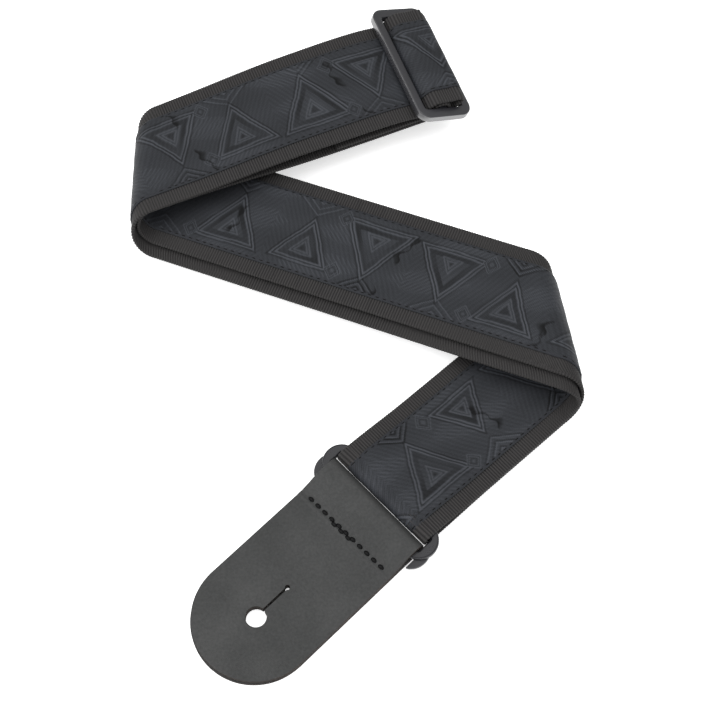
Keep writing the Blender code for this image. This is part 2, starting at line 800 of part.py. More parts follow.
def end_tab():
    item = loft("end_tab_leather", leather_loops(tab_rows(), tab_place), DARK_LEATHER)
    high = 2 * LEATHER_THICKNESS + PLY_GAP + 1.0
    cut_button_hole(item, tab_place, -1.0, high, TAB_TIP - BUTTON_HOLE_FROM_TIP)
    t = TAB_FRONT + TAB_STITCH_FROM_FOLD
    level = 2 * LEATHER_THICKNESS + PLY_GAP + TOUCH_GAP + 0.15
    thread_row("end_tab_stitches", tab_place, t, level)


def thread_row(name, place, t, level):
    """Stitches that dip between holes, as one run of thread along the seam."""
    loops = []
    count = 11
    for k in range(2 * count + 1):
        y = -TAB_STITCH_HALF_LENGTH + 2 * TAB_STITCH_HALF_LENGTH * k / (2 * count)
        swell = 0.35 if k % 2 else 0.2
        loops.append([
            place(t - swell, y, level), place(t + swell, y, level),
            place(t + swell, y, level + 2 * swell), place(t - swell, y, level + 2 * swell),
        ])
    loft(name, loops, BLACK_THREAD)


# ---------------------------------------------------------------- leather tab at the far end

FAR_POCKET_HALF = WEBBING_THICKNESS / 2 + TOUCH_GAP
FAR_TAB_MIDDLE = -WEBBING_THICKNESS / 2


def far_place(t, y, z):
    """A place on the far tab: t from its mouth towards its tip, z off its middle."""
    u = FAR_TAB_START - t
    full_twist = math.tan(math.radians(UPPER_TWIST))
    return lay(u, y + TAIL_SLIP, tail_level(u) + FAR_TAB_MIDDLE + z, full_twist)


def far_tab():
    """Two plies with the webbing's end sewn between them, closed up beyond it."""
    pocket = FAR_TAB_START - TAIL_END + 0.6
    tip = TAB_LENGTH
    ends = [tip - HALF_WIDTH + HALF_WIDTH * math.sin(math.radians(angle))
            for angle in (86.0, 78.0, 70.0, 62.0, 54.0, 45.0, 36.0, 24.0, 12.0, 0.0)]
    outer = FAR_POCKET_HALF + LEATHER_THICKNESS
    thin = LEATHER_THICKNESS + PLY_GAP / 2

    def half_of(t):
        beyond = t - (tip - HALF_WIDTH)
        if beyond <= 0.0:
            return HALF_WIDTH
        return math.sqrt(max(HALF_WIDTH * HALF_WIDTH - beyond * beyond, 1.0))

    rows = [(0.0, outer), (pocket, outer), (pocket + 8.0, thin)] + [(t, thin) for t in reversed(ends)]
    loops = []
    for t, half_height in rows:
        half = half_of(t)
        low = -outer
        high = half_height + (half_height - outer)
        loops.append([
            far_place(t, -half, low), far_place(t, half, low),
            far_place(t, half, high), far_place(t, -half, high),
        ])
    item = loft("far_tab_leather", loops, DARK_LEATHER)
    room = FAR_POCKET_HALF
    cut_loops = []
    for t in (-1.0, pocket):
        wide = HALF_WIDTH + 1.0
        cut_loops.append([
            far_place(t, -wide, -room), far_place(t, wide, -room),
            far_place(t, wide, room), far_place(t, -wide, room),
        ])
    cut_with(item, "far_tab_pocket", cut_loops)
    cut_button_hole(item, far_place, -outer - 1.0, outer + 1.0, tip - BUTTON_HOLE_FROM_TIP)
    thread_row("far_tab_stitches", far_place, 10.0, outer + TOUCH_GAP)


# ---------------------------------------------------------------- joints

def fold_axis(bend, stage):
    """The middle of a fold's axis: its arc turns round this line."""
    start, slant, radius, turn = bend
    matrix, offset = FRAMES[stage]
    centre = np.array([start, 0.0, math.copysign(radius, turn)])
    return TABLE_TURN @ (matrix @ centre + offset) + RING_BAR_POINT


def pivot(name, place, parent, prefixes):
    """An empty on a joint's axis that carries every piece whose name starts with one of the prefixes."""
    empty = bpy.data.objects.new(name, None)
    empty.empty_display_size = 10 * MM
    empty.location = Vector(place * MM)
    bpy.context.scene.collection.objects.link(empty)
    if parent is not None:
        empty.parent = parent
        empty.matrix_parent_inverse = Matrix.Translation(-parent.location)
    for item in bpy.data.objects:
        if item.type == "MESH" and item.name.startswith(prefixes):
            item.parent = empty
            item.matrix_parent_inverse = Matrix.Translation(-empty.location)
    return empty


def add_pivots():
    lower = pivot("at_ring_bar", RING_BAR_POINT, None, ("lower_run", "right_fold"))
    swing = pivot("on_webbing_bar", RING_BAR_POINT, lower, ("ring",))
    pivot("on_leather_bar", ring_place(LEATHER_BAR_X, 0.0, 0.0), swing, ("end_tab",))
    middle = pivot("on_right_fold", fold_axis(RIGHT_BEND, 0), lower, ("middle", "left_fold"))
    upper = pivot("on_left_fold", fold_axis(LEFT_BEND, 1), middle, ("upper_layer", "lower_layer", "far_tab"))
    pivot("on_centre_bar", slider_place(0.0, 0.0, 0.0), upper, ("slider",))


def build():
    clear_scene()
    lower_run()
    fold("right_fold_inner", RIGHT_BEND, 1, (0.0, -LAYER_SLIP), (RUN_HALF_SPACE, MIDDLE_HALF_SPACE))
    fold("right_fold_outer", RIGHT_BEND, -1, (0.0, 0.0), (RUN_HALF_SPACE, MIDDLE_HALF_SPACE))
    middle_run("middle_bottom", 1, -LAYER_SLIP)
    middle_run("middle_top", -1, 0.0)
    fold("left_fold_outer", LEFT_BEND, 1, (-LAYER_SLIP, -UPPER_SLIP), (MIDDLE_HALF_SPACE, RUN_HALF_SPACE))
    fold("left_fold_inner", LEFT_BEND, -1, (0.0, 0.0), (MIDDLE_HALF_SPACE, RUN_HALF_SPACE))
    upper_layer()
    lower_layer()
    slider()
    ring()
    end_tab()
    far_tab()
    add_pivots()


build()
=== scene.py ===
# %% [markdown]
# # A folded guitar strap
#
# The strap is one long length of 50 mm webbing with a patterned ribbon sewn along it. It goes through a
# slider, round a ring and back again, so most of it lies double. A leather tab hangs on the ring and
# another closes the far end. It lies in a loose Z, with its folds standing up as soft curls.
#
# Each piece below is made as a mesh from a few sizes. The imported model gives the bodies that the pieces
# move with, so every piece outside the folds ends by riding on one of them.

# %% Load the imported model
import math

import bmesh
import bpy
import numpy as np
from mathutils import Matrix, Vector


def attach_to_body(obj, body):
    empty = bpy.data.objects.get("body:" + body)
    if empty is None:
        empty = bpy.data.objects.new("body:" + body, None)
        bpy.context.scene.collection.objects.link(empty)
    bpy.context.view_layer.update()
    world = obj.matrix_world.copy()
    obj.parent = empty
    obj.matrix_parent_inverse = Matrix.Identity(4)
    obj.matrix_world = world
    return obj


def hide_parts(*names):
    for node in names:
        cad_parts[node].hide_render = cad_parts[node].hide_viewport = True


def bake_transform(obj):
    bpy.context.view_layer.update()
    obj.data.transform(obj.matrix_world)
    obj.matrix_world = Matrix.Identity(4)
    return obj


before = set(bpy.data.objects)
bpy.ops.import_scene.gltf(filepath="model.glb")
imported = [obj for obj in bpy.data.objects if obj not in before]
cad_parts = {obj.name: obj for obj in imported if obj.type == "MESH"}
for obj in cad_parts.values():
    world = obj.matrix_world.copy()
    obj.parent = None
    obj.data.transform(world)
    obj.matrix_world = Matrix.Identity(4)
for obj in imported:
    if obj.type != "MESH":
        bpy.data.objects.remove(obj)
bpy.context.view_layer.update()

MM = 0.001

# %% [markdown]
# ## Camera, table and light
#
# The camera stands in front of the strap and looks down on it at a bit more than sixty degrees. It is
# close, so the near tab looks larger than the slider at the back. The table is plain and pale. Three large
# soft lights keep the shadows faint, and a low one in front gives the plastic edges their pale shine.

# %% Camera
CAMERA_AT = np.array([-0.23, -289.7, 577.3]) * MM
LOOK_AT = np.array([-0.23, -11.04, 0.0]) * MM
LENS = 78.9

camera_data = bpy.data.cameras.new("camera")
camera_data.lens = LENS
camera_data.sensor_width = 36.0
camera_data.clip_start = 0.01
camera = bpy.data.objects.new("camera", camera_data)
bpy.context.scene.collection.objects.link(camera)
camera.location = CAMERA_AT
down = LOOK_AT - CAMERA_AT
camera.rotation_euler = (math.atan2(math.hypot(down[0], down[1]), -down[2]), 0.0, 0.0)
bpy.context.scene.camera = camera
print("camera looks down from", round(float(CAMERA_AT[2]), 3), "m")

# %% Table
TABLE_HALF = 3.0
TABLE_DROP = 0.0001
TABLE_CORNERS = ((-1, -1), (1, -1), (1, 1), (-1, 1))

table_mesh = bpy.data.meshes.new("table")
table_mesh.from_pydata([(x * TABLE_HALF, y * TABLE_HALF, 0) for x, y in TABLE_CORNERS], [], [(0, 1, 2, 3)])
table = bpy.data.objects.new("table", table_mesh)
table.location = (0.0, 0.0, -TABLE_DROP)
bpy.context.scene.collection.objects.link(table)
table_paint = bpy.data.materials.new("pale_table")
table_paint.use_nodes = True
table_shader = table_paint.node_tree.nodes["Principled BSDF"]
table_shader.inputs["Base Color"].default_value = (0.93, 0.93, 0.93, 1.0)
table_shader.inputs["Roughness"].default_value = 0.75
table_shader.inputs["Emission Color"].default_value = (1.0, 1.0, 1.0, 1.0)
table_shader.inputs["Emission Strength"].default_value = 0.55
table_mesh.materials.append(table_paint)


# %% Lights
def soft_light(name, place, aim, width, depth, power):
    data = bpy.data.lights.new(name, "AREA")
    data.shape = "RECTANGLE"
    data.size = width
    data.size_y = depth
    data.energy = power
    lamp = bpy.data.objects.new(name, data)
    bpy.context.scene.collection.objects.link(lamp)
    lamp.location = place
    lamp.rotation_euler = (Vector(aim) - Vector(place)).to_track_quat("-Z", "Y").to_euler()
    return lamp


soft_light("overhead", (0.0, 0.15, 1.6), (0.0, 0.0, 0.0), 2.4, 2.0, 26.0)
soft_light("left_side", (-1.3, -0.1, 0.9), (0.0, 0.0, 0.0), 1.2, 1.0, 9.0)
soft_light("low_front", (0.25, -1.3, 0.32), (0.0, 0.0, 0.02), 1.6, 0.5, 6.0)
world = bpy.data.worlds.new("studio")
bpy.context.scene.world = world
world.use_nodes = True
world.node_tree.nodes["Background"].inputs["Color"].default_value = (1.0, 1.0, 1.0, 1.0)
world.node_tree.nodes["Background"].inputs["Strength"].default_value = 0.62
bpy.context.scene.view_settings.view_transform = "Standard"

# %% [markdown]
# ## How the strap lies
#
# It is easiest to think of the strap as if it lay straight: a point on it is a distance along (u), a
# distance across (v) and a height off its middle (n). Two slanted bends then fold it into its Z. Every
# surface below is made straight and goes through one function, `lay`, which puts it on the table. A change
# to a fold then carries the webbing, ribbon and thread with it. All sizes are millimetres.

# %% Sizes of the strap
WEBBING_WIDTH = 50.0
WEBBING_THICKNESS = 1.5
RIBBON_HALF_WIDTH = 18.6
RIBBON_FROM = 1.5
RIBBON_TO = 2.3
HALF_WIDTH = WEBBING_WIDTH / 2

RING_BAR = np.array([15.47, -75.66, 5.3])
HEADING = math.radians(42.0)
LOWER_PITCH = math.radians(-1.55)
LOWER_RUN = 89.0
MIDDLE_RUN = 204.0
UPPER_RUN = 148.4
RIGHT_FOLD = (LOWER_RUN, math.radians(-32.0), 7.2, math.radians(186.0))
LEFT_FOLD = (LOWER_RUN + MIDDLE_RUN, math.radians(-22.0), 6.8, math.radians(-184.0))
FOLDS = (RIGHT_FOLD, LEFT_FOLD)
SLIDER_AT = LOWER_RUN + MIDDLE_RUN + UPPER_RUN


def fold_length(fold):
    """The webbing that a fold takes up, measured along the strap."""
    start, slant, radius, turn = fold
    return radius * abs(turn) / math.cos(slant)


RIGHT_END = RIGHT_FOLD[0] + fold_length(RIGHT_FOLD)
LEFT_END = LEFT_FOLD[0] + fold_length(LEFT_FOLD)
UPPER_TWIST = math.tan(math.radians(3.2))
TWIST_FROM = 10.0
TWIST_OVER = 90.0
print("the folds take up", [round(fold_length(fold), 1) for fold in FOLDS], "mm")


# %% Where a fold leaves the webbing that follows it
def after_fold(fold):
    """The move of everything past one fold, as a matrix and an offset."""
    start, slant, radius, turn = fold
    sign = math.copysign(1.0, turn)
    size = abs(turn)
    axes = np.array([
        [math.cos(slant), -math.sin(slant), 0.0],
        [math.sin(slant), math.cos(slant), 0.0],
        [0.0, 0.0, 1.0],
    ])
    cosine = math.cos(size)
    sine = math.sin(size)
    spin = np.array([[cosine, 0.0, -sine * sign], [0.0, 1.0, 0.0], [sine * sign, 0.0, cosine]])
    matrix = axes @ spin @ axes.T
    reach = radius * sine - radius * size * cosine
    rise = sign * (radius - radius * cosine - radius * size * sine)
    origin = np.array([start, 0.0, 0.0])
    return matrix, origin + axes @ np.array([reach, 0.0, rise]) - matrix @ origin


STAGES = [(np.eye(3), np.zeros(3))]
for fold_now in FOLDS:
    turn_now, shift_now = after_fold(fold_now)
    matrix_before, offset_before = STAGES[-1]
    STAGES.append((matrix_before @ turn_now, matrix_before @ shift_now + offset_before))

HEAD = np.array([
    [math.cos(HEADING), -math.sin(HEADING), 0.0],
    [math.sin(HEADING), math.cos(HEADING), 0.0],
    [0.0, 0.0, 1.0],
])
TIP = np.array([
    [math.cos(LOWER_PITCH), 0.0, -math.sin(LOWER_PITCH)],
    [0.0, 1.0, 0.0],
    [math.sin(LOWER_PITCH), 0.0, math.cos(LOWER_PITCH)],
])
TABLE_TURN = HEAD @ TIP


def smooth(value):
    """A soft step: 0 below 0, 1 above 1 and an S between them."""
    value = np.clip(value, 0.0, 1.0)
    return value * value * (3 - 2 * value)


def staged(points, stage):
    """Points of the straight strap after that many folds, on the table."""
    matrix, offset = STAGES[stage]
    return (points @ matrix.T + offset) @ TABLE_TURN.T + RING_BAR


# %% Laying points on the table
def curled(fold, distance, u, v, n):
    """Points inside a fold, rolled round its radius."""
    start, slant, radius, turn = fold
    sign = math.copysign(1.0, turn)
    along = -(u - start) * math.sin(slant) + v * math.cos(slant)
    angle = distance / radius
    reach = (radius - sign * n) * np.sin(angle)
    rise = sign * (radius - (radius - sign * n) * np.cos(angle))
    return np.stack([
        start + math.cos(slant) * reach - math.sin(slant) * along,
        math.sin(slant) * reach + math.cos(slant) * along,
        rise,
    ], axis=-1)


def lay(u, v, n, twist=None):
    """Where points of the straight strap lie on the table, in millimetres."""
    u, v, n = np.broadcast_arrays(np.asarray(u, float), np.asarray(v, float), np.asarray(n, float))
    if twist is None:
        twist = UPPER_TWIST * smooth((u - LEFT_END - TWIST_FROM) / TWIST_OVER)
    n = n + twist * v
    flat = np.stack([u, v, n], axis=-1)
    laid = staged(flat, 0)
    for stage, fold in enumerate(FOLDS):
        start, slant, radius, turn = fold
        distance = ((u - start) * math.cos(slant) + v * math.sin(slant))[..., None]
        laid = np.where(distance > 0.0, staged(curled(fold, distance[..., 0], u, v, n), stage), laid)
        laid = np.where(distance > radius * abs(turn), staged(flat, stage + 1), laid)
    return laid


print("the slider sits at", lay(SLIDER_AT, 0.0, 0.0).round(1), "mm")

# %% [markdown]
# ## Paths for each layer
#
# A layer of webbing is a path: rows of places along it, each with its height, the way its outer face looks,
# the slant of a cut across it and how far it has slipped sideways. The two layers lie back to back with
# their ribbons outwards. They part round the ring's bar at one end and at the slider's centre bar at
# the other, and the layer below slips towards the viewer in the middle run.

# %% A path as a table of numbers
STEP = 0.28


def smooth_curve(corners, count):
    """A smooth curve through the corners, count points to each stretch."""
    points = np.array(corners, float)
    ends = np.vstack([2 * points[0] - points[1], points, 2 * points[-1] - points[-2]])
    share = (np.arange(count) / count)[:, None]
    stretches = []
    for k in range(len(points) - 1):
        first, second, third, fourth = ends[k:k + 4]
        stretches.append(0.5 * (
            2 * second
            + (third - first) * share
            + (2 * first - 5 * second + 4 * third - fourth) * share ** 2
            + (3 * second - first - 3 * third + fourth) * share ** 3
        ))
    return np.vstack(stretches + [points[-1:]])


def path_table(places, side, slants=None, slips=None):
    """Rows of (along, u, n, out_u, out_n, slant, slip) at even steps along the places."""
    places = np.asarray(places, float)
    gaps = np.linalg.norm(np.diff(places, axis=0), axis=1)
    lengths = np.concatenate([[0.0], np.cumsum(gaps)])
    slants = np.zeros(len(places)) if slants is None else np.asarray(slants, float)
    slips = np.zeros(len(places)) if slips is None else np.asarray(slips, float)
    count = max(int(round(lengths[-1] / STEP)), 2)
    even = np.linspace(0.0, lengths[-1], count + 1)
    u = np.interp(even, lengths, places[:, 0])
    n = np.interp(even, lengths, places[:, 1])
    average = np.ones(5) / 5
    run_u, run_n = [
        np.convolve(np.pad(np.gradient(part), 2, mode="edge"), average, "valid") for part in (u, n)
    ]
    size = np.hypot(run_u, run_n)
    out_u = -side * run_n / size
    out_n = side * run_u / size
    return np.stack([
        even, u, n, out_u, out_n,
        np.interp(even, lengths, slants),
        np.interp(even, lengths, slips),
    ], axis=1)


def on_path(table, along, v, out):
    """Points at a true distance along a path, a distance across it and a height off its inner face."""
    at = along
    for _ in range(3):
        slant = np.interp(at, table[:, 0], table[:, 5])
        slip = np.interp(at, table[:, 0], table[:, 6])
        at = along + (v + slip) * np.tan(slant) * table[0, 7]
    u, n, out_u, out_n, slant, slip = [np.interp(at, table[:, 0], table[:, k]) for k in range(1, 7)]
    across = v + slip
    return lay(u + out * out_u - across * np.tan(slant), across, n + out * out_n)


# %% Heights between the layers
RUN_HALF = 0.15
MIDDLE_HALF = 0.5
UPPER_HALF = 2.8
RING_HALF = 1.9
LAYER_SLIP = 5.0
UPPER_SLIP = 1.0
TAIL_SLIP = 8.0
TAIL_LEVEL = -13.6
TAIL_RISE = 0.02
SLANT_REACH = 14.0
SPREAD_OVER = 70.0
LOOP_SLANT = math.radians(1.2)
LOOP_CENTRE = -2.25
LOOP_FROM = 30.0
LOOP_TO = 1.5


def upper_half_space(u):
    """Half the space between the layers of the upper run."""
    return RUN_HALF + (UPPER_HALF - RUN_HALF) * smooth((u - LEFT_END) / SPREAD_OVER)


def with_direction(table, direction, start):
    """Adds whether the path runs with the strap (1) or against it (-1), and the pattern's place."""
    pattern = start + direction * table[:, 0]
    extra = np.stack([np.full(len(table), float(direction)), pattern], axis=1)
    return np.hstack([table, extra])


# %% The lower run, round the ring's bar
def lower_run_path():
    taper = np.linspace(LOOP_FROM, LOOP_TO, 40)
    height = RUN_HALF + (RING_HALF - RUN_HALF) * (1 - smooth((taper - LOOP_TO) / (LOOP_FROM - LOOP_TO)))
    over = [(RIGHT_FOLD[0], RUN_HALF)] + list(zip(taper, height))
    angles = np.radians(np.linspace(90.0, 270.0, 40))
    bar = [(LOOP_CENTRE + RING_HALF * math.cos(a), RING_HALF * math.sin(a)) for a in angles]
    under = [(u, -n) for u, n in reversed(over)]
    places = over + bar + under
    reach = np.array(places)[:, 0]
    slants = LOOP_SLANT * smooth((8.0 - reach) / 10.0)
    slants[0] = slants[-1] = RIGHT_FOLD[1]
    table = path_table(places, -1, slants)
    return with_direction(table, -1, RIGHT_FOLD[0])


# %% Folds and the middle run
FOLD_PLACES = 90


def fold_path(fold, side, slips, halves):
    """One layer through a fold, from its first slip and half space to its last."""
    start, slant = fold[:2]
    share = smooth(np.linspace(0.0, 1.0, FOLD_PLACES))
    u = start + np.linspace(0.0, fold_length(fold), FOLD_PLACES)
    n = side * (halves[0] + (halves[1] - halves[0]) * share)
    slip = slips[0] + (slips[1] - slips[0]) * share
    table = path_table(np.stack([u, n], axis=1), side, np.full(FOLD_PLACES, slant), slip)
    table[:, 3] = 0.0
    table[:, 4] = side
    return with_direction(table, 1, start)


def middle_path(side, slip):
    """One layer of the middle run. Its cuts turn from slanted to square and back."""
    u = np.array([RIGHT_END, RIGHT_END + 60.0, LEFT_FOLD[0] - 60.0, LEFT_FOLD[0]])
    n = np.full(4, side * MIDDLE_HALF)
    slants = [RIGHT_FOLD[1], 0.0, 0.0, LEFT_FOLD[1]]
    table = path_table(np.stack([u, n], axis=1), side, slants, np.full(4, slip))
    return with_direction(table, 1, RIGHT_END)


# %% [markdown]
# ## Through the slider
#
# The slider has three bars. The upper layer comes in under the left bar, rises through the first window,
# goes over the centre bar in a loose hump and drops through the second window. There it turns back under
# the strap to the far tab. The lower layer wraps the centre bar and goes back as a sewn hem. The slider
# lies tilted, so its right end is lower. A smooth curve through a few places in the slider's own plane
# gives both paths.

# %% The slider's sizes
SLIDER_THICKNESS = 3.4
SLIDER_OUTER_BAR = 4.0
SLIDER_SIDE_BAR = 4.5
SLIDER_CENTRE_BAR = 4.0
CENTRE_THICKNESS = 2.2
SLIDER_WINDOW = 7.5
SLIDER_WIDTH = 60.0
SLIDER_LENGTH = SLIDER_CENTRE_BAR + 2 * (SLIDER_WINDOW + SLIDER_OUTER_BAR)
SLIDER_TILT = math.radians(22.0)
SLIDER_HEIGHT = 1.6
HALF_SLIDER = SLIDER_THICKNESS / 2
WINDOW_EDGE = SLIDER_CENTRE_BAR / 2 + SLIDER_WINDOW
WRAP_GAP = 0.85
BAR_GAP = 1.0
LAYER_GAP = 0.3
WRAP_LONG = SLIDER_CENTRE_BAR / 2 + WRAP_GAP
WRAP_HIGH = CENTRE_THICKNESS / 2 + WRAP_GAP
UNDER_BAR = -HALF_SLIDER - BAR_GAP - RIBBON_TO
OVER_BAR = WRAP_HIGH + WEBBING_THICKNESS + LAYER_GAP
RISE = (WRAP_LONG + WEBBING_THICKNESS + WINDOW_EDGE - RIBBON_TO) / 2
FAR_TAB_START = SLIDER_AT - 4.0
TAIL_END = FAR_TAB_START - 24.0
HEM_END = SLIDER_AT - 49.4
CURVE_POINTS = 12


def on_slider(x, z):
    """A place in the slider's own plane, as (u, n) of the upper run."""
    cosine = math.cos(SLIDER_TILT)
    sine = math.sin(SLIDER_TILT)
    return (SLIDER_AT + x * cosine + z * sine, SLIDER_HEIGHT - x * sine + z * cosine)


def tail_level(u):
    """The height of the tail that comes back under the slider."""
    return TAIL_LEVEL + TAIL_RISE * (SLIDER_AT - u)


# %% The upper layer
def upper_layer_path():
    """In under the left bar, over the centre bar in a hump, and back below as the tail."""
    along = np.linspace(LEFT_END + SLANT_REACH, SLIDER_AT - 34.0, 6)
    low = [(u, float(upper_half_space(u))) for u in along]
    low.append((SLIDER_AT - 22.0, UPPER_HALF - 0.5))
    hump = [
        on_slider(-WINDOW_EDGE - 3.5, UNDER_BAR - 0.6),
        on_slider(-WINDOW_EDGE, UNDER_BAR),
        on_slider(-RISE - 1.9, UNDER_BAR + 1.0),
        on_slider(-RISE - 0.7, -1.6),
        on_slider(-RISE - 0.1, 0.8),
        on_slider(-RISE + 1.8, OVER_BAR - 0.7),
        on_slider(-0.5, OVER_BAR + 0.1),
        on_slider(3.2, OVER_BAR + 0.6),
        on_slider(RISE + 0.3, OVER_BAR + 1.3),
        on_slider(RISE + 1.8, OVER_BAR + 1.3),
        on_slider(RISE + 2.3, OVER_BAR + 0.6),
        on_slider(RISE + 2.0, OVER_BAR - 0.1),
        on_slider(RISE + 1.2, HALF_SLIDER + 0.9),
        on_slider(RISE + 0.5, HALF_SLIDER - 0.5),
        on_slider(RISE + 0.3, -0.8),
        on_slider(RISE, -3.2),
    ]
    back = [
        (SLIDER_AT + 4.2, TAIL_LEVEL / 2),
        (SLIDER_AT + 3.2, TAIL_LEVEL * 0.77),
        (SLIDER_AT + 0.8, TAIL_LEVEL + 0.7),
        (FAR_TAB_START + 1.5, tail_level(FAR_TAB_START + 1.5)),
        (FAR_TAB_START - 2.0, tail_level(FAR_TAB_START - 2.0)),
    ]
    curve = smooth_curve(low + hump + back, CURVE_POINTS)
    curve = np.vstack([[(LEFT_END, RUN_HALF)], curve, [(TAIL_END, tail_level(TAIL_END))]])
    left_at = CURVE_POINTS * (len(low) + len(hump) - 1) + 1
    index = np.arange(len(curve))
    slips = -UPPER_SLIP * (1 - smooth((curve[:, 0] - LEFT_END) / SPREAD_OVER))
    tail = TAIL_SLIP * smooth((index - left_at) / (len(curve) - 2 - left_at))
    slips = np.where(index > left_at, tail, slips)
    slants = np.zeros(len(curve))
    slants[0] = LEFT_FOLD[1]
    return with_direction(path_table(curve, 1, slants, slips), 1, LEFT_END)


# %% The lower layer and its hem
def lower_layer_path():
    """Round the centre bar from below, and back between the layers as the hem."""
    along = np.linspace(LEFT_END + SLANT_REACH, SLIDER_AT - 26.0, 7)
    run = [(u, -float(upper_half_space(u))) for u in along]
    under = [
        (SLIDER_AT - 15.0, -UPPER_HALF + 0.1),
        (SLIDER_AT - 9.0, -UPPER_HALF + 0.3),
        (SLIDER_AT - 5.5, -UPPER_HALF + 1.0),
        on_slider(-1.6, -WRAP_HIGH - 0.9),
    ]
    angles = np.radians(np.linspace(-75.0, 180.0, 40))
    wrap = [on_slider(WRAP_LONG * math.cos(a), WRAP_HIGH * math.sin(a)) for a in angles]
    hem = -UPPER_HALF + 0.6
    back = [
        on_slider(-WRAP_LONG - 0.4, -1.0),
        (SLIDER_AT - 5.8, hem + 1.5),
        (SLIDER_AT - 9.5, hem + 0.2),
        (SLIDER_AT - 16.0, hem),
        (HEM_END, hem),
    ]
    first = smooth_curve(run + under, CURVE_POINTS)
    last = smooth_curve([wrap[-1]] + back, CURVE_POINTS)[1:]
    curve = np.vstack([[(LEFT_END, -RUN_HALF)], first, wrap, last])
    slants = np.zeros(len(curve))
    slants[0] = LEFT_FOLD[1]
    return with_direction(path_table(curve, -1, slants), 1, LEFT_END)


print("slider", SLIDER_LENGTH, "x", SLIDER_WIDTH, "mm")

# %% [markdown]
# ## Surfaces: webbing, ribbon and thread
#
# Real webbing has a rib at each weft thread, so its border looks like a fine staircase. The ribs are real
# relief here: the surface is cut into steps of a bit over a quarter of a millimetre, and a wave lifts about
# every fourth one. The ribbon's mesh is fine enough to carry its pattern as relief too. The pattern is
# worked out from distance along and across: triangles and gems with double outlines, zigzags and stripes,
# all of our own design.

# %% From a grid of points to a mesh
def tube_faces(rows, columns):
    """Quads of a closed section swept along rows, with both ends capped."""
    row = np.arange(rows - 1)[:, None] * columns
    column = np.arange(columns)[None, :]
    after = (column + 1) % columns
    quads = np.stack([row + column, row + after, row + columns + after, row + columns + column], axis=-1)
    faces = quads.reshape(-1, 4).tolist()
    faces.append(list(range(columns))[::-1])
    faces.append(list(range((rows - 1) * columns, rows * columns)))
    return faces


def outward(points, faces):
    """Faces turned so that the body's volume is positive."""
    quads = np.array([face for face in faces if len(face) == 4])
    a, b, c, d = (points[quads[:, k]] for k in range(4))
    volume = sum(np.einsum("ij,ij->i", a, np.cross(*pair)).sum() for pair in ((b, c), (c, d)))
    return [face[::-1] for face in faces] if volume < 0 else faces


def make_mesh(name, points, faces, flat_map=None, tone=None, sharp=50.0):
    """A smooth mesh from points in millimetres, with its flat map and its tone if it has them."""
    points = np.asarray(points, float).reshape(-1, 3)
    faces = outward(points - points.mean(axis=0), faces)
    mesh = bpy.data.meshes.new(name)
    mesh.from_pydata((points * MM).tolist(), [], faces)
    corners = np.empty(len(mesh.loops), int)
    mesh.loops.foreach_get("vertex_index", corners)
    if flat_map is not None:
        layer = mesh.uv_layers.new(name="cloth")
        layer.data.foreach_set("uv", (np.asarray(flat_map).reshape(-1, 2)[corners] * 0.01).ravel())
    if tone is not None:
        shade = mesh.attributes.new("tone", "FLOAT", "POINT")
        shade.data.foreach_set("value", np.asarray(tone, np.float32).ravel())
    mesh.shade_smooth()
    mesh.set_sharp_from_angle(angle=math.radians(sharp))
    item = bpy.data.objects.new(name, mesh)
    bpy.context.scene.collection.objects.link(item)
    return item


# %% The ribs of the webbing
RIB_PITCH = 1.15
RIB_HEIGHT = 0.17
RIB_SUNK = 0.6
EDGE_WAVE = 0.10
CORNER_DROP = 0.22
RIM_DROP = 0.05
OUTER_COLUMNS = (18.2, 19.2, 20.4, 21.8, 23.0, 24.0, 24.6, 24.9)
INNER_COLUMNS = (0.0, 9.0, 18.0, 22.0, 24.4, 24.9)


def webbing_section():
    """(v, out) round the section, and how much of the rib each point carries."""
    half = HALF_WIDTH
    thick = WEBBING_THICKNESS

    def drop(v, rim_from):
        return CORNER_DROP if v > 24.8 else RIM_DROP if v > rim_from else 0.0

    outer = [(v, thick - drop(v, 24.5), 1.0) for v in OUTER_COLUMNS]
    inner = [(v, drop(v, 24.3), -1.0) for v in INNER_COLUMNS]
    right = outer + [(half, thick * 0.62, 0.4), (half, thick * 0.38, -0.4)] + inner[::-1]
    left = [(-v, out, rib) for v, out, rib in reversed(right)]
    return np.array(right + left[1:] + [(0.0, thick, 1.0)])


def webbing_body(name, table):
    """The webbing of one stretch, with a rib at every weft thread."""
    section = webbing_section()
    rows = len(table)
    v = np.broadcast_to(section[:, 0], (rows, len(section)))
    base = np.broadcast_to(section[:, 1], v.shape)
    weight = section[:, 2]
    slant = table[:, 5:6]
    across = v + table[:, 6:7]
    along = np.abs(table[:, 8:9]) - across * np.tan(slant)
    wave = np.cos(2 * np.pi * along / RIB_PITCH)
    out = base + RIB_HEIGHT * (wave - RIB_SUNK) * weight
    across = across + (np.abs(v) > 24.95) * EDGE_WAVE * wave * np.sign(v)
    u = table[:, 1:2] + out * table[:, 3:4] - across * np.tan(slant)
    n = table[:, 2:3] + out * table[:, 4:5]
    points = lay(u, across, n)
    flat_map = np.stack([along, v], axis=-1)
    # The tone is 1 on the rib tops and 0 in the valleys; the finish uses it to paint shade into the valleys
    # between the ribs
    return make_mesh(name, points, tube_faces(rows, len(section)), flat_map, 0.5 + 0.5 * wave, 60.0)


# %% [markdown]
# ## The ribbon's pattern
#
# A jacquard ribbon shows its pattern because two sets of thread lie different ways and catch the light
# differently. Its lines are a bit over half a millimetre wide. The pattern is a function that gives a tone
# for any place on the ribbon, from 0 for a deep recess to 1 for a raised line, so it runs on from one
# stretch to the next. The tone goes on the mesh as a named value, which lifts the surface and also drives
# its colour. The tone also holds painted shade: darker bands beside the outlines and dark creases across
# the ribbon.

# %% The pattern as a function of place
REPEAT = 62.0
CREASE_EVERY = 71.0
CREASE_FROM = 22.0
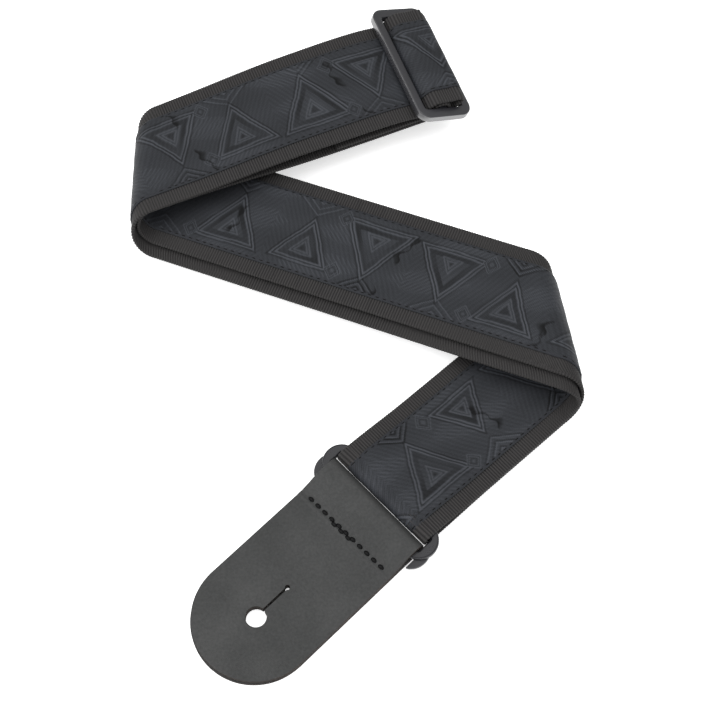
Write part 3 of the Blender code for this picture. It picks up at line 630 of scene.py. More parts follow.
# Each triangle's centre, foot, half base and height in one repeat, and whether it stands up or hangs
LEFT_TRIANGLE = (-14.0, -14.5, 16.0, 27.0, 1)
RIGHT_TRIANGLE = (14.5, 13.5, 15.0, 25.0, -1)
LEFT_CORE = (-14.0, -10.0, 6.0, 10.0, 1)
RIGHT_CORE = (14.5, 9.5, 5.6, 9.5, -1)


def line(value, low, high, soft=0.3):
    """1 between low and high, fading to 0 over a soft edge."""
    return smooth((value - low) / soft + 0.5) * smooth((high - value) / soft + 0.5)


def inside_triangle(x, y, shape, size):
    """How deep a point is inside a triangle, in millimetres."""
    centre, foot, half_base, height, up = shape
    x, y, half_base, height = x - centre, (y - foot) * up, half_base * size, height * size
    slope = np.hypot(height, half_base)
    return np.minimum((height * half_base - np.abs(x) * height - y * half_base) / slope, y)


def outlined(depth, gap=1.35):
    """Two thin lines just inside a shape."""
    return np.maximum(line(depth, 0.0, 0.6), line(depth, gap, gap + 0.55))


def motif(along, v):
    """The tone of the weave: 0 is a deep recess, about 0.5 the ground and 1 a raised line."""
    along, v = np.broadcast_arrays(along, v)
    count = np.floor(along / REPEAT)
    x = along - (count + 0.5) * REPEAT
    y = v * np.where(count % 2 == 0, 1.0, -1.0)
    x = x + 0.22 * np.sin(y / 3.1 + along / 11.0) + 0.07 * np.sin(y / 0.9 + along / 3.0)
    y = y + 0.20 * np.sin(along / 4.7) + 0.06 * np.sin(along / 1.3 + v)
    drift = 0.5 + 0.5 * np.sin(along / 9.7 + 0.21 * v) * np.cos(along / 23.0 - 0.13 * v + 1.3)
    size = 0.93 + 0.09 * np.sin(2.4 * count)
    other = 0.90 - 0.13 * np.sin(1.9 * count + 0.6)
    left = inside_triangle(x, y, LEFT_TRIANGLE, size)
    right = inside_triangle(x, y, RIGHT_TRIANGLE, other)
    small_left = inside_triangle(x, y, LEFT_CORE, other)
    small_right = inside_triangle(x, y, RIGHT_CORE, size)
    gem = 4.6 - (np.abs(x + 1.5) * 1.15 + np.abs(y - 12.5))
    gem_low = 4.2 - (np.abs(x - 2.0) * 1.1 + np.abs(y + 13.0))
    fan = np.abs(x - 14.5) * 0.72 + (y + 17.5)
    fan_high = np.abs(x + 14.0) * 0.80 - (y - 17.5)
    lean = x * 0.86 + y * 0.52
    tone = 0.47 + 0.12 * drift + 0.04 * np.cos(2 * np.pi * lean / 1.9)
    outside = smooth(-np.maximum(left, right) / 0.5)
    in_fan = line(fan, 0.0, 9.2)
    in_fan_high = line(fan_high, 0.0, 8.0)
    zigzag = line(fan % 3.0, 0.5, 1.15) * in_fan
    zigzag_high = line(fan_high % 2.6, 0.4, 1.0) * in_fan_high
    tone = tone + outside * 0.30 * np.maximum(zigzag, zigzag_high)
    tone = tone - outside * 0.26 * line(fan % 3.0, 1.25, 2.2) * in_fan * drift
    tone = tone - 0.42 * line(fan_high % 2.6, 1.1, 2.0) * in_fan_high * outside * (1 - drift)
    for depth, core in ((left, small_left), (right, small_right)):
        tone = tone + 0.38 * outlined(depth)
        # Darker bands just inside and outside each outline: painted shade beside the raised lines, which
        # also sinks the surface a little
        tone = tone - 0.22 * line(depth, 0.7, 1.25) - 0.22 * line(depth, -0.75, -0.1)
        tone = tone - 0.34 * line(depth, 2.3, 4.2) * (1 - smooth(core / 0.4)) * drift
        tone = tone + 0.28 * outlined(core, 1.2) - 0.20 * smooth((core - 2.0) / 0.4)
    for depth in (gem, gem_low):
        tone = tone * (1 - smooth(depth / 0.3)) + smooth(depth / 0.3) * 0.42
        tone = tone + 0.36 * outlined(depth, 1.25) + 0.25 * smooth((depth - 3.0) / 0.4)
    stripes = line((lean + 0.4 * y) % 1.9, 0.3, 0.85) * smooth((drift - 0.55) / 0.1) * outside
    tone = tone + 0.16 * stripes
    # A few creases run across the ribbon, each in its own ragged line; the tone paints shade on the slope
    # behind each one and sinks the surface there a little
    bend = along + 0.30 * v + 1.1 * np.sin(v / 2.3 + count) + 0.7 * np.sin(v / 0.9) + CREASE_FROM
    past = bend % CREASE_EVERY
    crease_shade = np.clip(1 - past / (2.2 + 1.6 * np.sin(v / 1.7)), 0.0, 1.0) * smooth(past / 0.25)
    broken = smooth((np.sin(v / 4.3 + 2.1 * np.floor(bend / CREASE_EVERY)) + 0.35) / 0.5)
    tone = tone - 0.62 * crease_shade * broken
    edge = smooth((np.abs(v) - RIBBON_HALF_WIDTH + 1.5) / 0.5)
    return np.clip(tone * (1 - edge) + 0.50 * edge, 0.0, 1.0)


# %% The ribbon as a fine mesh
RIBBON_COLUMN = 0.5
RELIEF = 0.16
SHOULDER = 0.25
PUCKER = 0.09
RIBBON_SUNK = 0.12
PRESSED_AT_BAR = 0.65
PRESSED_OVER = 4.0


def pressed_at_bar(u):
    """How far the leather presses the ribbon and its thread down at the ring's bar."""
    return PRESSED_AT_BAR * smooth((PRESSED_OVER - u) / PRESSED_OVER)


def ribbon_body(name, table, stop=None):
    """The ribbon of one stretch, up to the row where it stops."""
    table = table[:stop]
    half = RIBBON_HALF_WIDTH
    columns = np.linspace(-half, half, int(2 * half / RIBBON_COLUMN) + 1)
    v = np.concatenate([[-half], columns, [half], [half * 0.5, -half * 0.5]])
    top = np.ones(len(v), bool)
    top[0] = False
    top[-3:] = False
    v = np.broadcast_to(v, (len(table), len(v)))
    slant = table[:, 5:6]
    across = v + table[:, 6:7]
    along = np.abs(table[:, 8:9]) - across * np.tan(slant)
    tone = motif(along, v)
    shoulder = SHOULDER * smooth((np.abs(v) - half + 0.7) / 0.7)
    pressed = pressed_at_bar(table[:, 1:2])
    pucker = PUCKER * np.sin(along / 2.9 + v / 5.0) * np.sin(v / 3.3 + along / 13.0)
    pucker = pucker * smooth((half - np.abs(v)) / 4.0)
    high = RIBBON_TO - RELIEF + RELIEF * tone - shoulder - pressed + pucker
    out = np.where(top, high, RIBBON_FROM - RIBBON_SUNK)
    u = table[:, 1:2] + out * table[:, 3:4] - across * np.tan(slant)
    n = table[:, 2:3] + out * table[:, 4:5]
    points = lay(u, across, n)
    flat_map = np.stack([along, v], axis=-1)
    return make_mesh(name, points, tube_faces(len(table), v.shape[1]), flat_map, tone, 60.0)


# %% [markdown]
# ## Rows of stitches
#
# Two rows of thread hold the ribbon on. A machine stitch looks like a small grain that is thick in its
# middle and dips into a hole at each end. One grain is made once, as a few rings of points, and copied
# along both edges of the ribbon. Each copy is bent with the strap because it goes through `on_path`.

# %% One stitch, repeated
STITCH_LENGTH = 2.5
STITCH_PITCH = 3.3
STITCH_WIDTH = 0.5
STITCH_HEIGHT = 0.24
STITCH_ROW = 17.7
STITCH_SUNK = 0.2
STITCH_END_GAP = STITCH_LENGTH * 0.6
GRAIN_DIP = 0.6


def grain(length, width, height, rings=5, sides=6):
    """Points and faces of one stitch along its first axis."""
    points = [(-length / 2, 0.0, -height * GRAIN_DIP)]
    for k in range(rings):
        share = (k + 0.5) / rings
        swell = math.sin(math.pi * share) ** 0.5
        for j in range(sides):
            angle = 2 * math.pi * j / sides
            points.append((
                (share - 0.5) * length,
                swell * width / 2 * math.cos(angle),
                swell * height * (0.5 + 0.5 * math.sin(angle)) - height * GRAIN_DIP * (1 - swell),
            ))
    points.append((length / 2, 0.0, -height * GRAIN_DIP))
    last = len(points) - 1
    faces = []
    for j in range(sides):
        after = (j + 1) % sides
        faces.append((0, 1 + after, 1 + j))
        faces.append((last, last - sides + j, last - sides + after))
        for k in range(rings - 1):
            low = 1 + k * sides
            faces.append((low + j, low + after, low + sides + after, low + sides + j))
    return np.array(points), faces


def many_grains(name, shape, centres, place):
    """Copies of one stitch at each centre, with place turning its points into table millimetres."""
    points, faces = shape
    count = len(points)
    every = [place(centre, points) for centre in centres]
    all_faces = [
        tuple(k * count + index for index in face) for k in range(len(centres)) for face in faces
    ]
    mesh = bpy.data.meshes.new(name)
    mesh.from_pydata((np.concatenate(every) * MM).tolist(), [], all_faces)
    mesh.shade_smooth()
    tidy = bmesh.new()
    tidy.from_mesh(mesh)
    bmesh.ops.recalc_face_normals(tidy, faces=tidy.faces)
    tidy.to_mesh(mesh)
    tidy.free()
    item = bpy.data.objects.new(name, mesh)
    bpy.context.scene.collection.objects.link(item)
    return item


def stitch_rows(name, table, stop=None):
    """Both rows of one stretch. A slanted cut makes one row start earlier than the other."""
    table = table[:stop]
    centres = []
    for row in (-STITCH_ROW, STITCH_ROW):
        start, end = (row * table[0, 7] * math.tan(table[k, 5]) for k in (0, -1))
        low = STITCH_END_GAP - start
        high = table[-1, 0] - end - STITCH_END_GAP
        steps = range(math.ceil(low / STITCH_PITCH), math.floor(high / STITCH_PITCH) + 1)
        centres += [(step * STITCH_PITCH, row) for step in steps]

    def place(centre, points):
        pressed = pressed_at_bar(np.interp(centre[0], table[:, 0], table[:, 1]))
        height = RIBBON_TO - STITCH_SUNK - pressed + points[:, 2]
        return on_path(table, centre[0] + points[:, 0], centre[1] + points[:, 1], height)

    return many_grains(name, grain(STITCH_LENGTH, STITCH_WIDTH, STITCH_HEIGHT), centres, place)


# %% [markdown]
# ## Finishes
#
# Eight finishes cover the strap: ribbed black webbing, a blue-black patterned ribbon, thread, dark leather,
# the leather's raw edge, and three plastics that differ only in their shine. Each is a small tree of nodes
# on a Principled shader. Cloth gets its fine threads from the flat map that goes along with each strip, so
# they follow every bend. Leather and plastic take their grain from noise in the object's own space.

# %% Helpers for node trees
def new_finish(name, colour, roughness):
    finish = bpy.data.materials.new(name)
    finish.use_nodes = True
    shader = finish.node_tree.nodes["Principled BSDF"]
    shader.inputs["Base Color"].default_value = (*colour, 1.0)
    shader.inputs["Roughness"].default_value = roughness
    return finish, finish.node_tree, shader


def add(tree, kind, **settings):
    made = tree.nodes.new("ShaderNode" + kind)
    for key, value in settings.items():
        setattr(made, key, value)
    return made


def maths(tree, operation, first, second=None):
    made = add(tree, "Math", operation=operation)
    for socket, value in zip(made.inputs, (first, second)):
        if value is None:
            continue
        if isinstance(value, (int, float)):
            socket.default_value = value
        else:
            tree.links.new(value, socket)
    return made.outputs[0]


def weighted(tree, *parts):
    """The sum of some values, each times its weight."""
    total = None
    for value, weight in parts:
        part = maths(tree, "MULTIPLY", value, weight)
        total = part if total is None else maths(tree, "ADD", total, part)
    return total


def ramp(tree, value, stops):
    """A colour for each value: stops are (position, colour)."""
    made = add(tree, "ValToRGB")
    bar = made.color_ramp
    while len(bar.elements) < len(stops):
        bar.elements.new(0.5)
    for element, (position, colour) in zip(bar.elements, stops):
        element.position = position
        element.color = (*colour, 1.0)
    tree.links.new(value, made.inputs[0])
    return made.outputs[0]


def greys(tree, value, *stops):
    """A grey for each value: stops are (position, brightness)."""
    return ramp(tree, value, [(position, (grey, grey, grey)) for position, grey in stops])


def paint(tree, shader, colour, shine):
    tree.links.new(colour, shader.inputs["Base Color"])
    shader.inputs["Specular IOR Level"].default_value = shine


def noise(tree, scale, detail=3.0, space=None):
    made = add(tree, "TexNoise")
    made.inputs["Scale"].default_value = scale
    made.inputs["Detail"].default_value = detail
    if space is None:
        space = add(tree, "TexCoord").outputs["Object"]
    tree.links.new(space, made.inputs["Vector"])
    return made.outputs[0]


def relief(tree, shader, height, strength, distance):
    made = add(tree, "Bump")
    made.inputs["Strength"].default_value = strength
    made.inputs["Distance"].default_value = distance
    tree.links.new(height, made.inputs["Height"])
    tree.links.new(made.outputs[0], shader.inputs["Normal"])


def cloth_map(tree):
    """The strip's own distances in millimetres: along and across."""
    flat = add(tree, "UVMap", uv_map="cloth")
    apart = add(tree, "SeparateXYZ")
    tree.links.new(flat.outputs[0], apart.inputs[0])
    along = maths(tree, "MULTIPLY", apart.outputs[0], 100.0)
    across = maths(tree, "MULTIPLY", apart.outputs[1], 100.0)
    return along, across


def threads(tree, value, pitch):
    """A wave between 0 and 1 with that pitch in millimetres."""
    turned = maths(tree, "MULTIPLY", value, 2 * math.pi / pitch)
    return maths(tree, "MULTIPLY_ADD", maths(tree, "SINE", turned), 0.5)


def tone_of(tree):
    return add(tree, "Attribute", attribute_name="tone").outputs["Fac"]


# %% Webbing
def webbing_finish():
    finish, tree, shader = new_finish("black_webbing", (0.04, 0.038, 0.036), 0.72)
    warp = threads(tree, cloth_map(tree)[1], 0.62)
    fibre = noise(tree, 2600.0, 2.0)
    patch = noise(tree, 60.0, 3.0)
    worn = maths(tree, "MULTIPLY_ADD", patch, 0.34)
    # The rib tone darkens the valleys between the ribs: painted shade
    shade = weighted(tree, (tone_of(tree), 0.60), (warp, 0.12), (worn, 0.35), (fibre, 0.22))
    colour = ramp(tree, shade, [
        (0.18, (0.004, 0.0039, 0.0039)), (0.5, (0.0155, 0.0148, 0.0148)), (0.9, (0.036, 0.0342, 0.034)),
    ])
    paint(tree, shader, colour, 0.16)
    shader.inputs["Sheen Weight"].default_value = 0.05
    shader.inputs["Sheen Roughness"].default_value = 0.45
    height = weighted(tree, (warp, 1.0), (fibre, 0.8))
    relief(tree, shader, height, 0.55, 0.00009)
    return finish


# %% Ribbon
def ribbon_finish():
    finish, tree, shader = new_finish("patterned_ribbon", (0.04, 0.043, 0.05), 0.6)
    along, across = cloth_map(tree)
    tone = tone_of(tree)
    twill = threads(tree, weighted(tree, (along, 1.0), (across, 0.7)), 0.75)
    cross = threads(tree, across, 0.55)
    fibre = noise(tree, 2400.0, 2.0)
    patch = noise(tree, 45.0, 3.0)
    # Low tone comes out near black: in the creases and the bands beside the outlines this is painted shade,
    # elsewhere it is the pattern's dark fill
    shade = weighted(tree, (tone, 0.72), (twill, 0.09), (patch, 0.12), (fibre, 0.20))
    shade = maths(tree, "SUBTRACT", shade, 0.05)
    colour = ramp(tree, shade, [
        (0.14, (0.001, 0.0012, 0.0015)), (0.36, (0.008, 0.0088, 0.0105)),
        (0.52, (0.0165, 0.0180, 0.0215)), (0.90, (0.046, 0.050, 0.059)),
    ])
    paint(tree, shader, colour, 0.22)
    tree.links.new(greys(tree, tone, (0.0, 0.85), (1.0, 0.52)), shader.inputs["Roughness"])
    shader.inputs["Sheen Weight"].default_value = 0.04
    shader.inputs["Sheen Roughness"].default_value = 0.4
    height = weighted(tree, (twill, 1.0), (cross, 0.6), (fibre, 0.6))
    relief(tree, shader, height, 0.5, 0.00008)
    return finish


# %% Thread
def thread_finish():
    finish, tree, shader = new_finish("black_thread", (0.012, 0.012, 0.012), 0.5)
    ply = noise(tree, 1800.0, 2.0)
    colour = ramp(tree, ply, [(0.3, (0.001, 0.001, 0.001)), (0.7, (0.006, 0.006, 0.0065))])
    paint(tree, shader, colour, 0.12)
    relief(tree, shader, ply, 0.6, 0.0001)
    return finish


# %% Leather, its face and its raw edge
def leather_finish():
    finish, tree, shader = new_finish("dark_leather", (0.07, 0.07, 0.07), 0.55)
    space = add(tree, "TexCoord").outputs["Object"]
    cells = add(tree, "TexVoronoi", feature="DISTANCE_TO_EDGE")
    cells.inputs["Scale"].default_value = 1500.0
    tree.links.new(space, cells.inputs["Vector"])
    pebble = greys(tree, cells.outputs["Distance"], (0.0, 0.0), (0.16, 1.0))
    fine = noise(tree, 900.0, 4.0, space)
    broad = noise(tree, 55.0, 4.0, space)
    shade = weighted(tree, (broad, 0.7), (fine, 0.3))
    colour = ramp(tree, shade, [
        (0.30, (0.018, 0.0188, 0.0186)), (0.5, (0.026, 0.0268, 0.0265)), (0.72, (0.037, 0.0375, 0.037)),
    ])
    paint(tree, shader, colour, 0.34)
    tree.links.new(greys(tree, fine, (0.3, 0.62), (0.7, 0.48)), shader.inputs["Roughness"])
    relief(tree, shader, weighted(tree, (pebble, 0.5), (fine, 0.9)), 0.35, 0.00012)
    return finish


def raw_edge_finish():
    finish, tree, shader = new_finish("raw_leather_edge", (0.045, 0.032, 0.026), 0.85)
    fibre = noise(tree, 1400.0, 5.0)
    shade = weighted(tree, (fibre, 0.6), (noise(tree, 120.0, 3.0), 0.4))
    colour = ramp(tree, shade, [
        (0.3, (0.008, 0.006, 0.005)), (0.55, (0.024, 0.017, 0.014)), (0.8, (0.055, 0.038, 0.029)),
    ])
    paint(tree, shader, colour, 0.2)
    relief(tree, shader, fibre, 0.8, 0.0002)
    return finish


# %% Satin plastic
def plastic_finish(name, shine, gloss):
    """Black plastic: shine is its specular level and gloss the lowest roughness of its surface."""
    finish, tree, shader = new_finish(name, (0.02, 0.02, 0.022), 0.34)
    speck = noise(tree, 1300.0, 3.0)
    smear = noise(tree, 40.0, 3.0)
    colour = ramp(tree, smear, [(0.35, (0.012, 0.012, 0.014)), (0.7, (0.020, 0.020, 0.024))])
    paint(tree, shader, colour, shine)
    blotch = weighted(tree, (speck, 0.5), (smear, 0.5))
    rough = greys(tree, blotch, (0.35, gloss), (0.65, gloss + 0.14))
    tree.links.new(rough, shader.inputs["Roughness"])
    relief(tree, shader, speck, 0.12, 0.00008)
    return finish


WEBBING = webbing_finish()
RIBBON = ribbon_finish()
THREAD = thread_finish()
LEATHER = leather_finish()
RAW_EDGE = raw_edge_finish()
PLASTIC = plastic_finish("satin_plastic", 0.62, 0.28)
MOULDED_SIDE = plastic_finish("shiny_moulded_side", 1.0, 0.22)
RING_PLASTIC = plastic_finish("ring_plastic", 0.30, 0.24)
MOULDED_SIDE.node_tree.nodes["Principled BSDF"].inputs["IOR"].default_value = 1.9
FINISHES = (WEBBING, RIBBON, THREAD, LEATHER, RAW_EDGE, PLASTIC, MOULDED_SIDE, RING_PLASTIC)
print("finishes:", ", ".join(finish.name for finish in FINISHES))


# %% [markdown]
# ## Nine stretches of strap
#
# One webbing can't turn in the middle of a rigid body, so it is made in nine stretches that meet exactly:
# three runs, and two layers through each fold. A stretch inside a run rides on that run's body. A stretch
# inside a fold rides on no body and stays where it was made.

# %% Make and attach every stretch
lower = lower_run_path()
LOOP_LENGTH = lower[-1, 0] - 2 * RIGHT_FOLD[0]
upper = upper_layer_path()
below = lower_layer_path()
upper_stop = int(np.nonzero(upper[:, 1] > FAR_TAB_START + 1.6)[0][-1])
below_stop = int(np.nonzero(below[:, 1] > SLIDER_AT - 12.0)[0][0])


def shifted(table, shift):
    """The same path with its pattern moved along, as the other layer's length asks."""
    table = table.copy()
    table[:, 8] += shift
    return table


# How the layers part or close through a fold, and the two runs that each fold joins
OPENING = (RUN_HALF, MIDDLE_HALF)
CLOSING = (MIDDLE_HALF, RUN_HALF)
AT_RIGHT_FOLD = ("lower_run", "middle_run")
AT_LEFT_FOLD = ("middle_run", "upper_run")
# Each stretch's name, its path, the row where its ribbon stops and the bodies it rides on; a fold lists the
# two runs it joins but rides on neither
STRETCHES = [
    ("lower_run", lower, None, ("lower_run",)),
    ("right_fold_inner", fold_path(RIGHT_FOLD, 1, (0.0, -LAYER_SLIP), OPENING), None, AT_RIGHT_FOLD),
    ("right_fold_outer", shifted(fold_path(RIGHT_FOLD, -1, (0.0, 0.0), OPENING), LOOP_LENGTH), None,
     AT_RIGHT_FOLD),
    ("middle_bottom", middle_path(1, -LAYER_SLIP), None, ("middle_run",)),
    ("middle_top", shifted(middle_path(-1, 0.0), LOOP_LENGTH), None, ("middle_run",)),
    ("left_fold_outer", fold_path(LEFT_FOLD, 1, (-LAYER_SLIP, -UPPER_SLIP), CLOSING), None, AT_LEFT_FOLD),
    ("left_fold_inner", shifted(fold_path(LEFT_FOLD, -1, (0.0, 0.0), CLOSING), LOOP_LENGTH), None,
     AT_LEFT_FOLD),
    ("upper_layer", upper, upper_stop, ("upper_run",)),
    ("lower_layer", shifted(below, LOOP_LENGTH), below_stop, ("upper_run",)),
]


def attach(piece, name, riders, node, finish):
    """A stretch in a run rides on it, and one in a fold stays where it was made."""
    piece.data.materials.append(finish)
    if len(riders) == 1:
        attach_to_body(piece, riders[0])
    else:
        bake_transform(piece)
    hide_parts(*node)


for name, table, stop, riders in STRETCHES:
    band = webbing_body("woven_" + name, table)
    attach(band, name, riders, [name + "_webbing"], WEBBING)
    ribbon = ribbon_body("pattern_" + name, table, stop)
    attach(ribbon, name, riders, [name + "_ribbon"], RIBBON)
    rows = stitch_rows("seams_" + name, table, stop)
    attach(rows, name, riders, [name + "_stitch_row_a", name + "_stitch_row_b"], THREAD)
    count = len(band.data.vertices) + len(ribbon.data.vertices)
    print(name, "is", round(table[-1, 0], 1), "mm long, with", count, "points")

# %% [markdown]
# ## Slider and ring
#
# Both are flat plastic loops with softly rounded edges. A loop like this is a cross section swept round
# between an inner and an outer outline, which gives clean quads and a true round edge all the way. The
# slider's centre bar is a thinner bar set into its frame. The ring has a thin lower lip that shows behind
# each of its round ends.


# %% A flat loop with round edges
def edge_section(width, half_height, bevel, steps=4):
    """(distance from the inner outline, height) round the section of a flat band."""
    places = []
    for centre_x, centre_z, first in (
        (width - bevel, half_height - bevel, 0.0),
        (bevel, half_height - bevel, 90.0),
        (bevel, -half_height + bevel, 180.0),
        (width - bevel, -half_height + bevel, 270.0),
    ):
        for k in range(steps + 1):
            angle = math.radians(first + 90.0 * k / steps)
            places.append((centre_x + bevel * math.cos(angle), centre_z + bevel * math.sin(angle)))
    return places


def flat_loop(name, outer, inner, half_height, bevel, place):
    """A flat band between two outlines with matching points, swept all the way round."""
    rows = []
    for out_point, in_point in zip(np.array(outer), np.array(inner)):
        reach = out_point - in_point
        width = np.linalg.norm(reach)
        section = edge_section(width, half_height, min(bevel, width * 0.45))
        rows.append([place(*(in_point + reach * (part / width)), z) for part, z in section])
    size = len(rows[0])
    faces = []
    for row in range(len(rows)):
        low, high = row * size, (row + 1) % len(rows) * size
        for k in range(size):
            after = (k + 1) % size
            faces.append([low + k, low + after, high + after, high + k])
    return make_mesh(name, np.array(rows).reshape(-1, 3), faces, sharp=45.0)


def round_rectangle(half_x, half_y, radius, steps=12):
    places = []
    for sign_x, sign_y, first in ((1, 1, 0.0), (-1, 1, 90.0), (-1, -1, 180.0), (1, -1, 270.0)):
        for k in range(steps + 1):
            angle = math.radians(first + 90.0 * k / steps)
            places.append((
                sign_x * (half_x - radius) + radius * math.cos(angle),
                sign_y * (half_y - radius) + radius * math.sin(angle),
            ))
    return places


def slider_place(x, y, z):
    """A place in the slider's plane, on the table."""
    u, n = on_slider(x, z)
    return lay(u, y, n)


# %% The slider's frame and centre bar
SLIDER_CORNER = 5.5
WINDOW_CORNER = 1.4
SLIDER_BEVEL = 0.5
BAR_BEVEL = 0.7
BAR_HALF_LENGTH = SLIDER_WIDTH / 2 - 3.0
BAR_ROWS = 12
SIDE_FACE = 0.3

slider_frame = flat_loop(
    "slider_frame",
    round_rectangle(SLIDER_LENGTH / 2, SLIDER_WIDTH / 2, SLIDER_CORNER),
    round_rectangle(WINDOW_EDGE, SLIDER_WIDTH / 2 - SLIDER_SIDE_BAR, WINDOW_CORNER),
    HALF_SLIDER,
    SLIDER_BEVEL,
    slider_place,
)
slider_frame.data.materials.append(PLASTIC)
slider_frame.data.materials.append(MOULDED_SIDE)
slider_up = np.array(slider_place(0.0, 0.0, 1.0)) - np.array(slider_place(0.0, 0.0, 0.0))
for face in slider_frame.data.polygons:
    if abs(np.array(face.normal) @ slider_up) < SIDE_FACE:
        face.material_index = 1
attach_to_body(slider_frame, "slider")
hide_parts("slider")

bar_section = edge_section(SLIDER_CENTRE_BAR, CENTRE_THICKNESS / 2, BAR_BEVEL)
bar_points = [
    slider_place(x - SLIDER_CENTRE_BAR / 2, y, z)
    for y in np.linspace(-BAR_HALF_LENGTH, BAR_HALF_LENGTH, BAR_ROWS)
    for x, z in bar_section
]
slider_bar = make_mesh(
    "slider_centre_bar", np.array(bar_points), tube_faces(BAR_ROWS, len(bar_section)), sharp=45.0
)
slider_bar.data.materials.append(PLASTIC)
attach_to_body(slider_bar, "slider")
print("slider made with", len(slider_frame.data.polygons), "faces")

# %% The ring
RING_BAR_WIDTH = 4.3
RING_LENGTH = 15.6
RING_WIDTH = 60.0
RING_WINDOW_HALF = 25.35
RING_THICKNESS = 3.0
RING_BEVEL = 0.95
RING_WINDOW_CORNER = 0.9
RING_TILT = math.radians(6.0)
RING_HEADING = HEADING + math.radians(1.2)
RING_SHIFT = -(RING_LENGTH - RING_BAR_WIDTH) / 2
RING_RADIUS = RING_LENGTH / 2
RING_STRAIGHT = RING_WIDTH / 2 - RING_RADIUS


def ring_place(x, y, z):
    """A place in the ring's plane: x from its webbing bar towards the strap, y across and z up."""
    turned_x = x * math.cos(RING_TILT) - z * math.sin(RING_TILT)
    turned_z = z * math.cos(RING_TILT) + x * math.sin(RING_TILT)
    cosine = math.cos(RING_HEADING)
    sine = math.sin(RING_HEADING)
    return RING_BAR + np.array([turned_x * cosine - y * sine, turned_x * sine + y * cosine, turned_z])


def ring_outlines(steps=24):
    """Matching points of the ring's round-ended outline and its straight window."""
    corner = RING_WINDOW_CORNER
    corner_x = RING_RADIUS - RING_BAR_WIDTH - corner
    corner_y = RING_WINDOW_HALF - corner
    quarter = []
    for k in range(steps + 1):
        share = k / steps
        angle = math.radians(90.0 * share)
        outer = (RING_RADIUS * math.cos(angle), RING_STRAIGHT + RING_RADIUS * math.sin(angle))
        if share <= 0.4:
            inner = (corner_x + corner, RING_STRAIGHT + (corner_y - RING_STRAIGHT) * share / 0.4)
        elif share <= 0.6:
            bend = math.radians(90.0 * (share - 0.4) / 0.2)
            inner = (corner_x + corner * math.cos(bend), corner_y + corner * math.sin(bend))
        else:
            inner = (corner_x * (1.0 - share) / 0.4, RING_WINDOW_HALF)
        quarter.append((outer, inner))
    back = [((-o[0], o[1]), (-i[0], i[1])) for o, i in reversed(quarter[:-1])]
    half = quarter + back
    other = [((-o[0], -o[1]), (-i[0], -i[1])) for o, i in half]
    return zip(*(half + other))


ring_outer, ring_inner = ring_outlines()
ring_body = flat_loop(
    "ring_band", ring_outer, ring_inner, RING_THICKNESS / 2, RING_BEVEL,
    lambda x, y, z: ring_place(RING_SHIFT + x, y, z),
)
ring_body.data.materials.append(RING_PLASTIC)
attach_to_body(ring_body, "ring")
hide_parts("ring")


# %% The ring's lower lip
LIP_BACK = 4.6
LIP_CLEAR = 1.3
# The height and inset of each row of the lip, from its foot to its top
LIP_PROFILE = ((-2.5, 0.35), (-2.15, 0.0), (-0.7, 0.0), (-0.35, 0.3))


def lip(name, side):
    """A thin crescent under one round end, with a rounded rim."""
    first = math.asin((HALF_WIDTH + LIP_CLEAR - RING_STRAIGHT) / RING_RADIUS)
    angles = np.linspace(first, math.pi - first, 40)
    rows = []
    for z, inset in LIP_PROFILE:
        reach = RING_RADIUS - inset
        rows.append([
            ring_place(
                RING_SHIFT - LIP_BACK + reach * math.cos(a), side * (RING_STRAIGHT + reach * math.sin(a)), z
            )
            for a in angles
        ])
    piece = make_mesh(name, np.array(rows).reshape(-1, 3), tube_faces(len(rows), len(angles)), sharp=45.0)
    piece.data.materials.append(RING_PLASTIC)
    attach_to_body(piece, "ring")
    return piece


lip("ring_lip_left", 1)
lip("ring_lip_right", -1)
print("ring", RING_WIDTH, "x", RING_LENGTH, "mm")

# %% [markdown]
# ## Leather tabs
#
# The tab at the ring is one strip of 2 mm leather folded round the ring's bar and sewn through both plies.
# It is swept from row to row, narrowing into its round tip, then the button hole and slit are cut through
# it and the edges are rounded a little, as a burnished edge is. The plies pinch together at the stitches,
# which leaves a soft step across the tab. The far tab has the webbing's tail sewn between its plies.

# %% Sizes and places of the tab at the ring
LEATHER_THICKNESS = 2.0
TAB_LENGTH = 91.0
TAB_TURN = math.radians(2.4)
PLY_GAP = 0.3
EDGE_ROUNDING = 0.38
FAR_EDGE_ROUNDING = 0.35
HOLE_RADIUS = 4.1
HOLE_FROM_TIP = 25.0
SLIT_LENGTH = 13.0
SLIT_HALF = 0.42
SEAM_FROM_FOLD = 18.0
BAR_X = RING_SHIFT * 2
BAR_LEVEL = RING_BAR[2] + BAR_X * math.sin(RING_TILT)
TAB_INNER = RING_THICKNESS / 2 + 0.5
FOLD_CENTRE = -1.45
FOLD_SLACK = 0.55
TAB_START = FOLD_CENTRE - TAB_INNER - LEATHER_THICKNESS + FOLD_SLACK
TAB_TIP = TAB_START + TAB_LENGTH
SEAM_AT = TAB_START + SEAM_FROM_FOLD
TAB_ORIGIN = ring_place(BAR_X, 0.0, 0.0)


def tab_place(t, y, z):
    """A place on the ring's tab: t towards its tip, y across and z above the table."""
    heading = HEADING + TAB_TURN
    t = t - y * math.tan(LOOP_SLANT) * float(smooth((12.0 - t) / 16.0))
    return np.array([
        TAB_ORIGIN[0] - t * math.cos(heading) - y * math.sin(heading),
        TAB_ORIGIN[1] - t * math.sin(heading) + y * math.cos(heading),
        z,
    ])


def tab_half_width(t, tip=TAB_TIP):
    beyond = t - (tip - HALF_WIDTH)
    if beyond <= 0.0:
        return HALF_WIDTH
    return math.sqrt(max(HALF_WIDTH ** 2 - beyond ** 2, 0.6))


# %% The folded strip
PLY_STEP = 0.40
SEAM_DIP = 0.30
SEAM_DIP_HALF = 1.2
LOWER_PLY_OUT = 0.5


